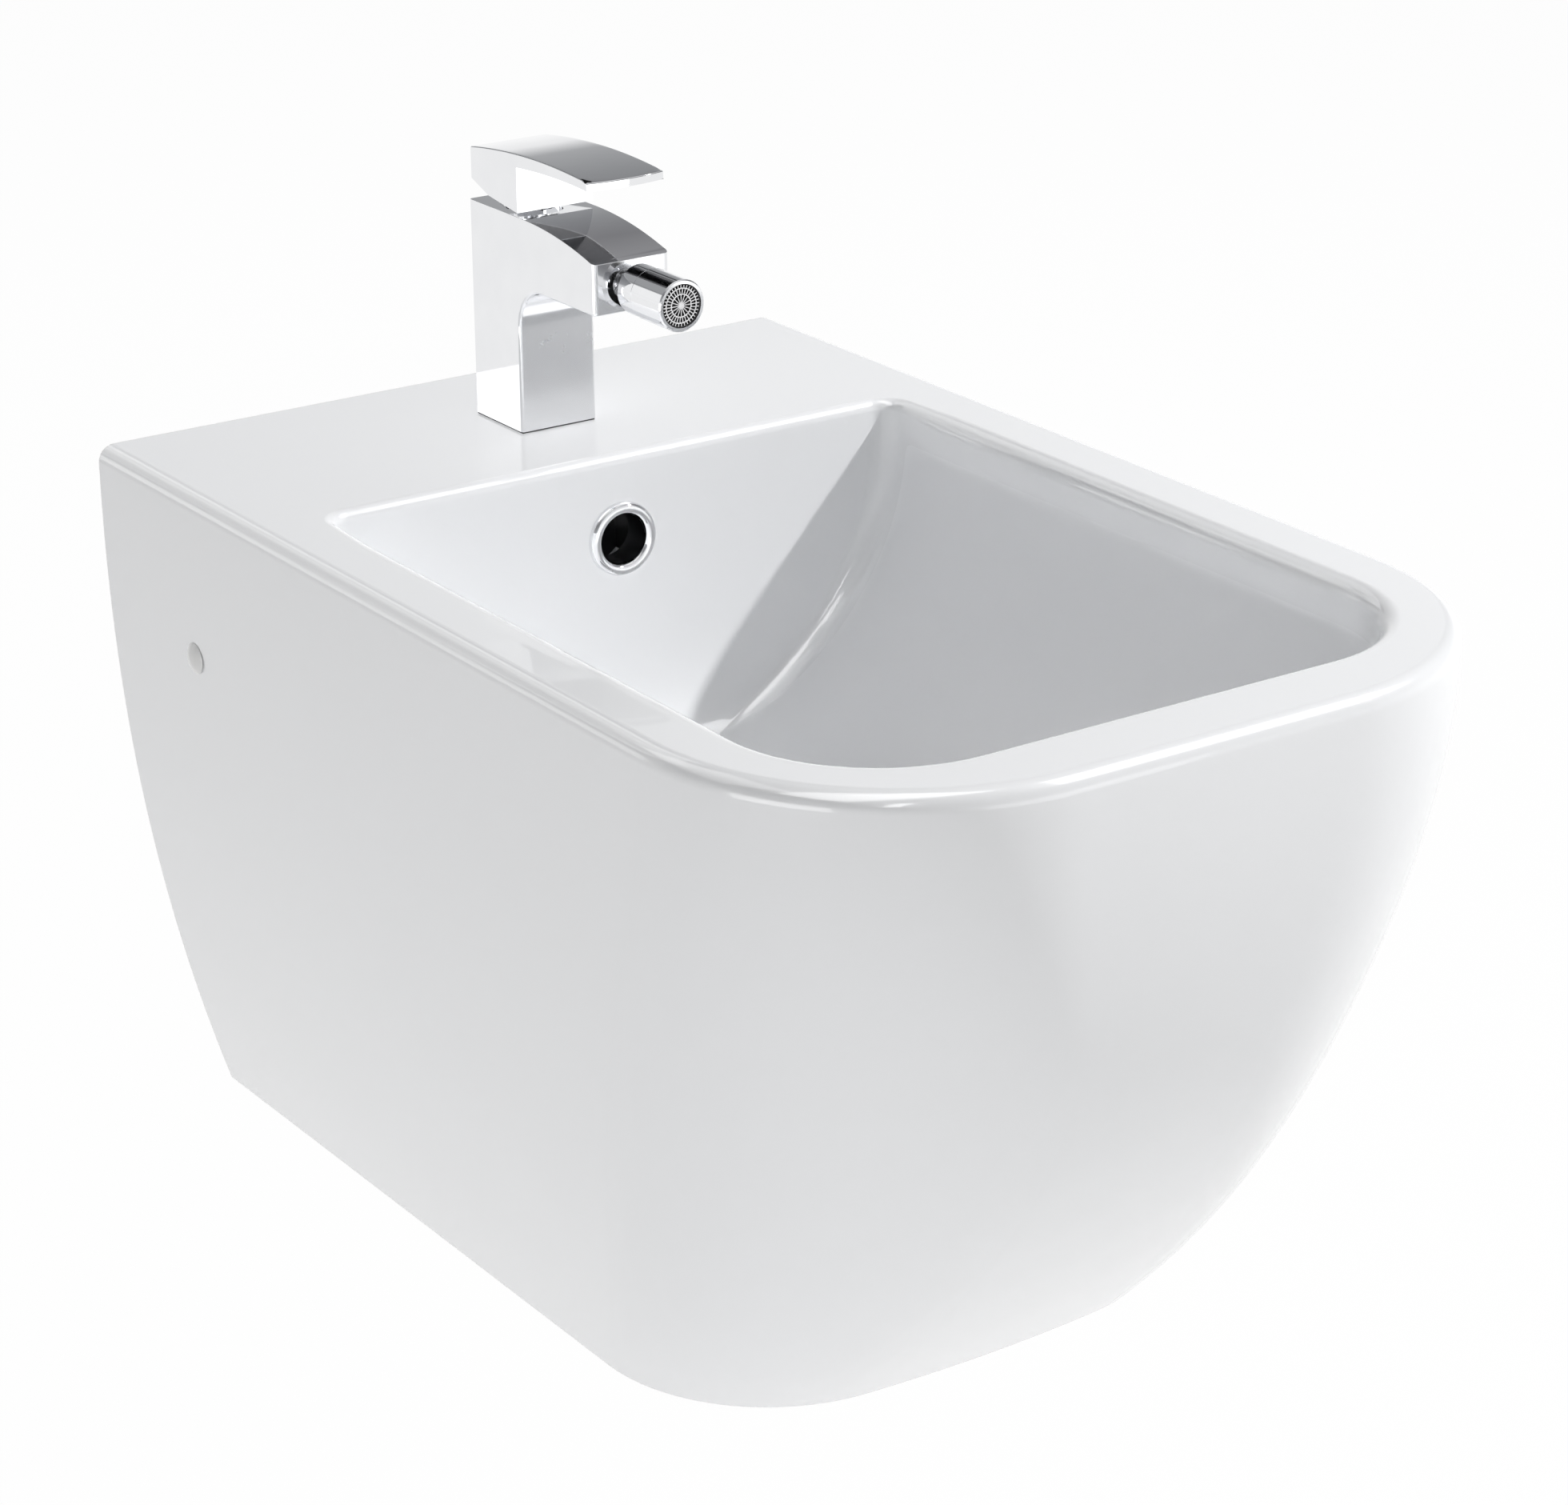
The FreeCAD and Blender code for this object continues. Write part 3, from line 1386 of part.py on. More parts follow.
def check_document():
    """Stops before anything is written if a feature failed or a sub-part has no sound shape."""
    doc.recompute()
    for item in doc.Objects:
        if "Invalid" in item.State or "Error" in item.State:
            raise RuntimeError(f"{item.Label} failed: {item.State}")
    for body in BODIES:
        if body.Shape.isNull() or not body.Shape.isValid():
            raise RuntimeError(f"{body.Label} has no sound shape")


def write_parts():
    """Writes each sub-part to its own file."""
    os.makedirs("parts", exist_ok=True)
    for body in BODIES:
        body.Shape.exportStep(os.path.join("parts", body.Label + ".step"))


fill_sheet()
ceramic_body()
wall_fixing()
side_screws()
overflow_ring()
waste()
tap_body()
tap_fixing()
cartridge()
lever_handle()
nozzle()
check_document()
write_parts()
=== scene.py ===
"""Looks of a wall-hung bidet: glazed shell, chromed mixer with a ball-jointed nozzle, overflow ring and waste."""

import logging
import math
from dataclasses import dataclass, field
from enum import Enum
from typing import Callable, Iterable, Sequence

import bmesh
import bpy
from bmesh.types import BMEdge, BMesh, BMVert
from mathutils import Matrix, Quaternion, Vector
from mathutils.bvhtree import BVHTree


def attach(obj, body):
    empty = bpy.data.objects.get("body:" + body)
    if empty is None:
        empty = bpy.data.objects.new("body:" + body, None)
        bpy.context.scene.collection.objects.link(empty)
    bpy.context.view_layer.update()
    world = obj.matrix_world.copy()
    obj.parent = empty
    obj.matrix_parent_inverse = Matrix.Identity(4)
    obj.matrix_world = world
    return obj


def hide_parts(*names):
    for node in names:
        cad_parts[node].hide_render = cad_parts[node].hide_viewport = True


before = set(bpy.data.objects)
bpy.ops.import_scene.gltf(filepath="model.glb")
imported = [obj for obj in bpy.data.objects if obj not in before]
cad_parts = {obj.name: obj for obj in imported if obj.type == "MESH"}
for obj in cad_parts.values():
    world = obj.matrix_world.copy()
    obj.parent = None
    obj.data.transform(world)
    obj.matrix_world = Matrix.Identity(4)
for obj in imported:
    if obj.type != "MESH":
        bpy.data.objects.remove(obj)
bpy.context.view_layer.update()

log = logging.getLogger("bidet")
Colour = tuple[float, float, float]
Point = tuple[float, float, float]
Stops = Sequence[tuple[float, Colour]]
Rings = list[list[BMVert]]
Number = "float | Signal"


class Axis(Enum):
    """The row axis that a turned piece is round."""

    X = (1.0, 0.0, 0.0)
    Y = (0.0, 1.0, 0.0)
    Z = (0.0, 0.0, 1.0)


class Body(Enum):
    """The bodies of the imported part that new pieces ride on."""

    BOWL = "bowl"
    LEVER = "lever"
    NOZZLE = "nozzle"
    PLUG = "plug"


# Shader graphs


def joined_by(operation: str, swapped: bool = False) -> Callable[["Signal", Number], "Signal"]:
    """Arithmetic operator that a Math node carries out.

    Args:
        operation: The node's operation.
        swapped: Whether the signal is the second value.

    Returns:
        The operator, for use as a method.
    """

    def operator(signal: "Signal", other: Number) -> "Signal":
        return signal.graph.math(operation, *((other, signal) if swapped else (signal, other)))

    return operator


class Signal:
    """A socket of a node tree that can be used in arithmetic."""

    __add__ = joined_by("ADD")
    __radd__ = joined_by("ADD", swapped=True)
    __sub__ = joined_by("SUBTRACT")
    __rsub__ = joined_by("SUBTRACT", swapped=True)
    __mul__ = joined_by("MULTIPLY")
    __pow__ = joined_by("POWER")

    def __init__(self, graph: "Graph", socket: bpy.types.NodeSocket) -> None:
        """Wraps a socket.

        Args:
            graph: The graph that holds the socket's node.
            socket: The output socket.
        """
        self.graph = graph
        self.socket = socket

    def above(self, level: float, width: float) -> "Signal":
        """Soft step that goes from 0 to 1 as the value passes a level.

        Args:
            level: The value where the step begins.
            width: How far the step takes to reach 1.

        Returns:
            The step as a signal from 0 to 1.
        """
        return self.graph.node(
            "ShaderNodeMapRange",
            {"interpolation_type": "SMOOTHSTEP"},
            {"Value": self, "From Min": level, "From Max": level + width},
        )

    def below(self, level: float, width: float) -> "Signal":
        """Soft step that goes from 1 to 0 as the value passes a level; the opposite of above."""
        return 1 - self.above(level, width)

    def between(self, low: float, high: float, width: float) -> "Signal":
        """1 between two levels and 0 outside them, with a soft step at each."""
        return self.above(low, width) * self.below(high, width)


class Graph:
    """A node tree that is filled from Python expressions."""

    def __init__(self, tree: bpy.types.NodeTree) -> None:
        """Empties a node tree for use.

        Args:
            tree: The node tree of a material or a world.
        """
        self.tree = tree
        tree.nodes.clear()

    def node(
        self, kind: str, settings: dict | None = None, inputs: dict | None = None, output: int | str = 0
    ) -> Signal:
        """Adds one node.

        Args:
            kind: The node's type.
            settings: The node's own properties, and a ramp's stops under the key stops.
            inputs: Values or signals for its input sockets, by name or index.
            output: The output socket to hand back.

        Returns:
            The wanted output as a signal.
        """
        made = self.tree.nodes.new(kind)
        for key, value in (settings or {}).items():
            if key == "stops":
                self._set_stops(made.color_ramp, value)
            else:
                setattr(made, key, value)
        for key, value in (inputs or {}).items():
            socket = made.inputs[key]
            if isinstance(value, Signal):
                self.tree.links.new(value.socket, socket)
            else:
                socket.default_value = value
        return Signal(self, made.outputs[output]) if made.outputs else None

    @staticmethod
    def _set_stops(ramp: bpy.types.ColorRamp, stops: Stops) -> None:
        """Sets a colour ramp's stops.

        Args:
            ramp: The ramp.
            stops: Pairs of a place from 0 to 1 and a colour.
        """
        while len(ramp.elements) < len(stops):
            ramp.elements.new(0.5)
        for element, (place, colour) in zip(ramp.elements, stops):
            element.position = place
            element.color = (*colour, 1.0)

    def math(self, operation: str, first: Number, second: Number) -> Signal:
        """Joins two values by a Math node.

        Args:
            operation: The node's operation.
            first: A number or signal.
            second: A number or signal.

        Returns:
            The result as a signal.
        """
        return self.node("ShaderNodeMath", {"operation": operation}, {0: first, 1: second})

    def mix(self, share: Signal, first: Colour | Signal, second: Colour | Signal) -> Signal:
        """Mixes two colours.

        Args:
            share: How much of the second colour shows.
            first: A colour or colour signal.
            second: A colour or colour signal.

        Returns:
            The mixed colour.
        """
        ends = [colour if isinstance(colour, Signal) else (*colour, 1.0) for colour in (first, second)]
        return self.node("ShaderNodeMix", {"data_type": "RGBA"}, {0: share, 6: ends[0], 7: ends[1]}, 2)

    def place(self) -> Signal:
        """Position on the object, in metres, in the row frame."""
        return self.node("ShaderNodeTexCoord", output="Object")

    def axes(self, vector: Signal) -> tuple[Signal, Signal, Signal]:
        """Splits a vector.

        Args:
            vector: The vector signal.

        Returns:
            Its three parts.
        """
        split = self.node("ShaderNodeSeparateXYZ", inputs={0: vector}).socket.node
        return tuple(Signal(self, socket) for socket in split.outputs)

    def noise(self, scale: float, detail: float, place: Signal) -> Signal:
        """Cloudy noise from 0 to 1.

        Args:
            scale: Clouds per metre.
            detail: How many finer layers are added.
            place: The coordinates.

        Returns:
            The noise value.
        """
        return self.node("ShaderNodeTexNoise", inputs={"Vector": place, "Scale": scale, "Detail": detail})

    def bump(self, height: Signal, distance: float, strength: float) -> Signal:
        """Normal that follows a height.

        Args:
            height: The height signal, from 0 to 1.
            distance: Height in metres that 1 stands for.
            strength: Share of the effect.

        Returns:
            The normal.
        """
        return self.node(
            "ShaderNodeBump", inputs={"Height": height, "Distance": distance, "Strength": strength})

    def surface(self, inputs: dict) -> None:
        """Closes a material with a Principled shader.

        Args:
            inputs: Values or signals for the shader's sockets, by name.
        """
        shader = self.node("ShaderNodeBsdfPrincipled", inputs=inputs)
        self.node("ShaderNodeOutputMaterial", inputs={"Surface": shader})


# Finishes


def shaded(colour: Colour, share: float) -> Colour:
    """A colour made darker.

    Args:
        colour: The colour.
        share: How much of it stays.

    Returns:
        The darker colour.
    """
    return tuple(share * part for part in colour)


@dataclass(frozen=True)
class Finish:
    """A surface finish that makes its material once."""

    name: str
    stands_for: str = field(default="", kw_only=True)

    def material(self) -> bpy.types.Material:
        """The finish's material, made on first use."""
        label = f"{self.name}_finish"
        found = bpy.data.materials.get(label)
        if found is not None:
            return found
        made = bpy.data.materials.new(label)
        made.use_nodes = True
        self.fill(Graph(made.node_tree))
        return made

    def fill(self, graph: Graph) -> None:
        """Fills the material's nodes; each finish has its own.

        Args:
            graph: The material's graph.
        """
        raise NotImplementedError


@dataclass(frozen=True)
class Glaze(Finish):
    """White glaze over a pale body; lengths in metres.

    It is bare on the wall face and the foot, near black with painted shade in the overflow's way, and dull with
    painted shade in the basin.
    """

    white: Colour = (0.890, 0.897, 0.910)
    pooled: Colour = (0.880, 0.888, 0.902)
    bare: Colour = (0.74, 0.70, 0.63)
    wall: float = -0.00012
    foot: float = -0.24498
    margin: float = 0.0001
    # near-black painted shade inside the overflow's way
    way_shade: Colour = (0.03, 0.03, 0.032)
    way_radius: float = 0.020
    way_height: float = 0.0367
    way_front: float = -0.1405
    way_back: float = -0.1080
    dull_shade_side: float = 0.150
    dull_shade_ends: tuple[float, float] = (-0.480, -0.162)
    dull_shade_levels: tuple[float, float] = (-0.100, 0.052)
    dull_shade_slant: float = -0.530
    # share of the glaze's colour kept in the basin, as painted shade
    painted_basin_shade: float = 0.945
    dull_shade_fade: float = 0.006
    cloud_scale: float = 9.0
    grain_scale: float = 900.0
    ripple_scale: float = 140.0
    swell_scale: float = 26.0
    sand_shade: float = 0.86
    roughness: float = 0.22
    coat: float = 0.85
    relief: float = 0.00004

    def basin(self, across: Signal, depth: Signal, height: Signal) -> Signal:
        """Where the glaze is dull and its colour carries painted shade: the basin's floor and walls, away from its
        back.

        Args:
            across: Place along x.
            depth: Place along y.
            height: Place along z.

        Returns:
            1 where the glaze is dull and painted with shade, otherwise 0.
        """
        aside = (across * across) ** 0.5
        inside = aside.below(self.dull_shade_side - self.dull_shade_fade, self.dull_shade_fade)
        for value, limits in ((depth, self.dull_shade_ends), (height, self.dull_shade_levels)):
            inside = inside * value.between(*limits, self.dull_shade_fade)
        return inside * (depth + height).above(self.dull_shade_slant, self.dull_shade_fade)

    def fill(self, graph: Graph) -> None:
        """Glaze with faint clouds and ripples; the bare clay shows where the piece stood in the kiln."""
        place = graph.place()
        across, depth, height = graph.axes(place)
        clouds = graph.noise(self.cloud_scale, 3.0, place)
        tones = (self.white, self.pooled)
        white = graph.mix(clouds, *tones)
        # painted shade: the glaze's tones darkened for the basin
        dull = graph.mix(clouds, *(shaded(tone, self.painted_basin_shade) for tone in tones))
        grain = graph.noise(self.grain_scale, 3.0, place)
        wall = depth.above(self.wall, self.margin)
        foot = height.below(self.foot, self.margin)
        clay = graph.math("MAXIMUM", wall, foot)
        # mask of the basin's dull glaze and painted shade
        dull_and_shaded = self.basin(across, depth, height)
        sand = graph.mix(grain, self.bare, shaded(self.bare, self.sand_shade))
        rise = height - self.way_height
        off = (across * across + rise * rise) ** 0.5
        # mask of the overflow's way, where painted shade goes
        way = depth.between(self.way_front, self.way_back, self.margin) * off.below(self.way_radius, self.margin)
        ripple = graph.noise(self.ripple_scale, 2.0, place)
        swell = graph.noise(self.swell_scale, 1.0, place)
        waves = ripple * 0.25 + swell * 0.75 + grain * clay * 6
        glazed = graph.mix(clay, graph.mix(dull_and_shaded, white, dull), sand)
        graph.surface({
            "IOR": 1.5, "Coat Roughness": 0.03, "Coat IOR": 1.5, "Specular IOR Level": 0.4,
            "Base Color": graph.mix(way, glazed, self.way_shade),
            "Roughness": self.roughness + clouds * 0.06 + clay * 0.6 + dull_and_shaded * 0.2,
            "Coat Weight": (1 - clay) * (1 - dull_and_shaded) * self.coat,
            "Normal": graph.bump(waves, self.relief, 0.25),
        })


@dataclass(frozen=True)
class Chrome(Finish):
    """Polished chrome plate with faint polishing clouds."""

    bright: Colour = (0.86, 0.865, 0.875)
    deep: Colour = (0.80, 0.805, 0.82)
    roughness: float = 0.035
    cloud_scale: float = 60.0
    fine_scale: float = 700.0
    relief: float = 0.00002

    def satin(self, graph: Graph, place: Signal) -> Number:
        """Roughness added in places; plain chrome has none.

        Args:
            graph: The material's graph.
            place: Position on the object.

        Returns:
            The added roughness.
        """
        return 0.0

    def fill(self, graph: Graph) -> None:
        """Mirror metal whose polish varies a little."""
        place = graph.place()
        clouds = graph.noise(self.cloud_scale, 3.0, place)
        fine = graph.noise(self.fine_scale, 2.0, place)
        graph.surface({
            "Metallic": 1.0,
            "Base Color": graph.mix(clouds, self.bright, self.deep),
            "Roughness": self.roughness + clouds * 0.02 + fine * 0.01 + self.satin(graph, place),
            "Normal": graph.bump(clouds * 0.8 + fine * 0.2, self.relief, 0.06),
        })


@dataclass(frozen=True)
class LeverPlate(Chrome):
    """Chrome with painted shade and satin roughness under the lever's blade; lengths in metres."""

    # painted shade under the blade
    under: Colour = (0.12, 0.12, 0.125)
    half_width: float = 0.0190
    front: float = -0.1518
    root: float = -0.0953
    level: float = 0.1986
    fade: float = 0.0001

    def fill(self, graph: Graph) -> None:
        """Mirror metal, with painted shade and satin roughness over the blade's underside."""
        place = graph.place()
        across, along, up = graph.axes(place)
        aside = graph.math("ABSOLUTE", across, 0.0)
        # mask of the blade's underside, where painted shade goes
        below = up.below(self.level, self.fade) * aside.below(self.half_width, self.fade)
        below = below * along.between(self.front, self.root, self.fade)
        clouds = graph.noise(self.cloud_scale, 3.0, place)
        graph.surface({
            "Metallic": 1.0,
            "Base Color": graph.mix(below, graph.mix(clouds, self.bright, self.deep), self.under),
            "Roughness": self.roughness + clouds * 0.02 + below * 0.12,
            "Normal": graph.bump(clouds, self.relief, 0.05),
        })


@dataclass(frozen=True)
class ColumnPlate(Chrome):
    """Chrome that is satin on the front of the mixer's column; lengths in metres."""

    front: float = -0.0937
    level: float = 0.118
    fade: float = 0.0004
    rise: float = 0.020
    dull: float = 0.22

    def satin(self, graph: Graph, place: Signal) -> Number:
        """Roughness added on the column's front.

        Args:
            graph: The material's graph.
            place: Position on the object.

        Returns:
            The added roughness.
        """
        _, along, up = graph.axes(place)
        return along.below(self.front, self.fade) * up.below(self.level, self.rise) * self.dull


@dataclass(frozen=True)
class Moulded(Finish):
    """Moulded plastic or lapped ceramic with a fine grain."""

    colour: Colour = (0.8, 0.8, 0.8)
    roughness: float = 0.4
    grain: float = 1200.0
    relief: float = 0.00003
    coat: float = 0.0
    cloud_scale: float = 45.0
    shade: float = 0.93

    def fill(self, graph: Graph) -> None:
        """Even colour with flow clouds and a fine pitted grain."""
        place = graph.place()
        clouds = graph.noise(self.cloud_scale, 2.0, place)
        grain = graph.noise(self.grain, 3.0, place)
        graph.surface({
            "Coat Weight": self.coat, "Coat Roughness": 0.05,
            "Base Color": graph.mix(clouds, self.colour, shaded(self.colour, self.shade)),
            "Roughness": self.roughness + (grain - 0.5) * 0.12,
            "Normal": graph.bump(grain, self.relief, 0.4),
        })


@dataclass(frozen=True)
class Rubber(Finish):
    """Moulded black rubber with a dusty bloom."""

    colour: Colour = (0.022, 0.022, 0.023)
    bloom: Colour = (0.055, 0.054, 0.052)
    roughness: float = 0.62
    bloom_scale: float = 220.0
    pore_scale: float = 2600.0
    relief: float = 0.00006

    def fill(self, graph: Graph) -> None:
        """Dark matt surface with a paler bloom in clouds."""
        place = graph.place()
        bloom = graph.noise(self.bloom_scale, 4.0, place)
        pores = graph.noise(self.pore_scale, 2.0, place)
        graph.surface({
            "Specular IOR Level": 0.3,
            "Base Color": graph.mix(bloom, self.colour, self.bloom),
            "Roughness": self.roughness + bloom * 0.2,
            "Normal": graph.bump(pores, self.relief, 0.4),
        })


@dataclass(frozen=True)
class TurnedMetal(Finish):
    """Plated or plain metal with fine turning lines along an axis."""

    colour: Colour = (0.6, 0.6, 0.6)
    dull: Colour = (0.5, 0.5, 0.5)
    roughness: float = 0.3
    axis: Axis = Axis.Z
    lines: float = 4000.0
    drawn_out: float = 30.0
    cloud_scale: float = 150.0
    relief: float = 0.00003

    def fill(self, graph: Graph) -> None:
        """Metal with lines drawn out round the axis and cloudy dulling."""
        place = graph.place()
        along = tuple(self.lines if part else self.drawn_out for part in self.axis.value)
        stretched = graph.node("ShaderNodeMapping", inputs={"Vector": place, "Scale": along})
        lines = graph.noise(1.0, 2.0, stretched)
        clouds = graph.noise(self.cloud_scale, 4.0, place)
        graph.surface({
            "Metallic": 1.0,
            "Base Color": graph.mix(clouds, self.colour, self.dull),
            "Roughness": self.roughness + clouds * 0.12 + lines * 0.06,
            "Normal": graph.bump(lines, self.relief, 0.3),
        })


@dataclass(frozen=True)
class Gauze(Finish):
    """Woven wire gauze, darkened by painted shade, with painted shade between its wires."""

    shaded_wire: Colour = (0.06, 0.06, 0.062)
    # painted shade in the gaps between the wires
    gap: Colour = (0.004, 0.004, 0.005)
    pitch: float = 0.0006
    relief: float = 0.00005

    def fill(self, graph: Graph) -> None:
        """Crossed wires in relief."""
        across, _, up = graph.axes(graph.place())
        turn = 2 * math.pi / self.pitch
        wires = [graph.math("SINE", part * turn, 0.0).above(0.4, 0.4) for part in (across, up)]
        cross = graph.math("MAXIMUM", wires[0], wires[1])
        graph.surface({
            "Roughness": 0.4,
            "Base Color": graph.mix(cross, self.gap, self.shaded_wire),
            "Metallic": cross * 0.9,
            "Normal": graph.bump(wires[0] + wires[1], self.relief, 0.5),
        })


@dataclass(frozen=True)
class Screen(Finish):
    """Pale screen, black beyond a radius from its axis, with painted shade down its slots; lengths in metres."""

    face: Colour = (0.83, 0.83, 0.835)
    # near black: painted shade in the slots, and black beyond the dark radius
    inner: Colour = (0.010, 0.010, 0.011)
    middle: float = 0.1535
    dark_radius: float = 0.0089
    front: float = -0.1943
    fade: float = 0.0002
    roughness: float = 0.30
    grain_scale: float = 1200.0
    relief: float = 0.00001

    def fill(self, graph: Graph) -> None:
        """Pale ribs on their front; painted shade on the slots' deeper faces, and black beyond the dark radius."""
        place = graph.place()
        across, along, up = graph.axes(place)
        up = up - self.middle
        reach = (across * across + up * up) ** 0.5
        slot_shade_or_outer = graph.math("MAXIMUM", along.above(self.front, self.fade), reach.above(self.dark_radius, self.fade / 4))
        grain = graph.noise(self.grain_scale, 3.0, place)
        graph.surface({
            "Base Color": graph.mix(slot_shade_or_outer, self.face, self.inner),
            "Roughness": self.roughness + grain * 0.10,
            "Normal": graph.bump(grain, self.relief, 0.4),
        })


GLAZE = Glaze("glazed_white")
CHROME = Chrome("chrome_plate")
LEVER_PLATE = LeverPlate("lever_plate", stands_for=CHROME.name)
COLUMN_PLATE = ColumnPlate("column_plate", stands_for=CHROME.name)
CAP = Moulded("cap_plastic", (0.78, 0.78, 0.775), 0.16, 1500.0, 0.00001, 0.6)
SLEEVE = Moulded("sleeve_plastic", (0.72, 0.72, 0.70), 0.45)
CARTRIDGE = Moulded("cartridge_plastic", (0.42, 0.43, 0.44), 0.5)
ALUMINA = Moulded("disc_ceramic", (0.82, 0.80, 0.76), 0.25, 3000.0, 0.00001)
SCREEN = Screen("screen_plastic")
GAUZE = Gauze("screen_gauze", stands_for="spring_steel")
INDICATOR = Chrome("indicator_plastic", (0.80, 0.80, 0.81), (0.74, 0.74, 0.75), 0.09)
RUBBER = Rubber("seal_rubber")
STEEL = TurnedMetal("fixing_steel", (0.62, 0.63, 0.65), (0.50, 0.51, 0.54), 0.26, Axis.Y)
SPRING = TurnedMetal("spring_steel", (0.56, 0.56, 0.57), (0.44, 0.44, 0.45), 0.24, Axis.Z)
BRASS = TurnedMetal("brass_metal", (0.78, 0.60, 0.30), (0.62, 0.46, 0.22), 0.24, Axis.Z)


# Outlines


def arc(middle: Vector, radius: float, start: float, end: float, steps: int) -> list[Vector]:
    """Points on a level arc.

    Args:
        middle: Its centre.
        radius: Its radius.
        start: Angle of the first point, in radians from +X.
        end: Angle of the last point.
        steps: Steps between them.

    Returns:
        The points, both ends included.
    """
    angles = [start + (end - start) * step / steps for step in range(steps + 1)]
    return [middle + radius * Vector((math.cos(angle), math.sin(angle), 0.0)) for angle in angles]


def circle(middle: Vector, radius: float, axis: Axis, steps: int) -> list[Vector]:
    """Points on a circle about a row axis.

    Args:
        middle: Its centre.
        radius: Its radius.
        axis: The axis that it is square to.
        steps: How many points it has.

    Returns:
        The points, none twice.
    """
    turn = Vector((0.0, 0.0, 1.0)).rotation_difference(Vector(axis.value))
    flat = arc(Vector(), radius, 0.0, 2 * math.pi, steps)[:-1]
    return [middle + turn @ point for point in flat]


def mirrored(half: list[Vector]) -> list[Vector]:
    """Adds the mirror image of an outline's right half.

    Args:
        half: Points from the first to the one on the centre plane.

    Returns:
        The points of both halves in order.
    """
    return half + [Vector((-point.x, point.y, point.z)) for point in reversed(half[:-1])]


def edges_of(points: list[BMVert], closed: bool) -> list[BMEdge]:
    """Edges that join the points of a ring.

    Args:
        points: The ring's points.
        closed: Whether the last point joins the first.

    Returns:
        The edges in order.
    """
    pairs = list(zip(points, points[1:])) + ([(points[-1], points[0])] if closed else [])
    return [next(edge for edge in first.link_edges if edge.other_vert(first) == second) for first, second in pairs]


def chain(work: BMesh, points: list[Vector], closed: bool) -> list[BMVert]:
    """Adds a ring of points joined by edges.

    Args:
        work: The geometry to add to.
        points: The points.
        closed: Whether the last point joins the first.

    Returns:
        The new points.
    """
    made = [work.verts.new(point) for point in points]
    for first, second in zip(made, made[1:] + (made[:1] if closed else [])):
        work.edges.new((first, second))
    return made


def ring_edges(work: BMesh, points: list[Vector]) -> list[BMEdge]:
    """Adds a closed ring of points.

    Args:
        work: The geometry to add to.
        points: The points.

    Returns:
        The new edges.
    """
    return edges_of(chain(work, points, closed=True), closed=True)


def lofted(work: BMesh, rings: list[list[Vector]], closed: bool) -> Rings:
    """Joins outlines by quads.

    Args:
        work: The geometry to add to.
        rings: Outlines with the same number of points.
        closed: Whether they are closed.

    Returns:
        The rings of new points.
    """
    made = [chain(work, ring, closed) for ring in rings]
    for lower, upper in zip(made, made[1:]):
        bmesh.ops.bridge_loops(work, edges=edges_of(lower, closed) + edges_of(upper, closed))
    return made


# Pieces

COPY_CRISP = 28.0
SEAM = 2e-6
SAME_WAY = 0.8
ALIKE = 0.999
CRISP = math.radians(25.0)


def placed(name: str, data: bpy.types.ID) -> bpy.types.Object:
    """Adds a mesh, lamp or camera to the scene.

    Args:
        name: The new object's name.
        data: What it shows.

    Returns:
        The object.
    """
    made = bpy.data.objects.new(name, data)
    bpy.context.scene.collection.objects.link(made)
    return made


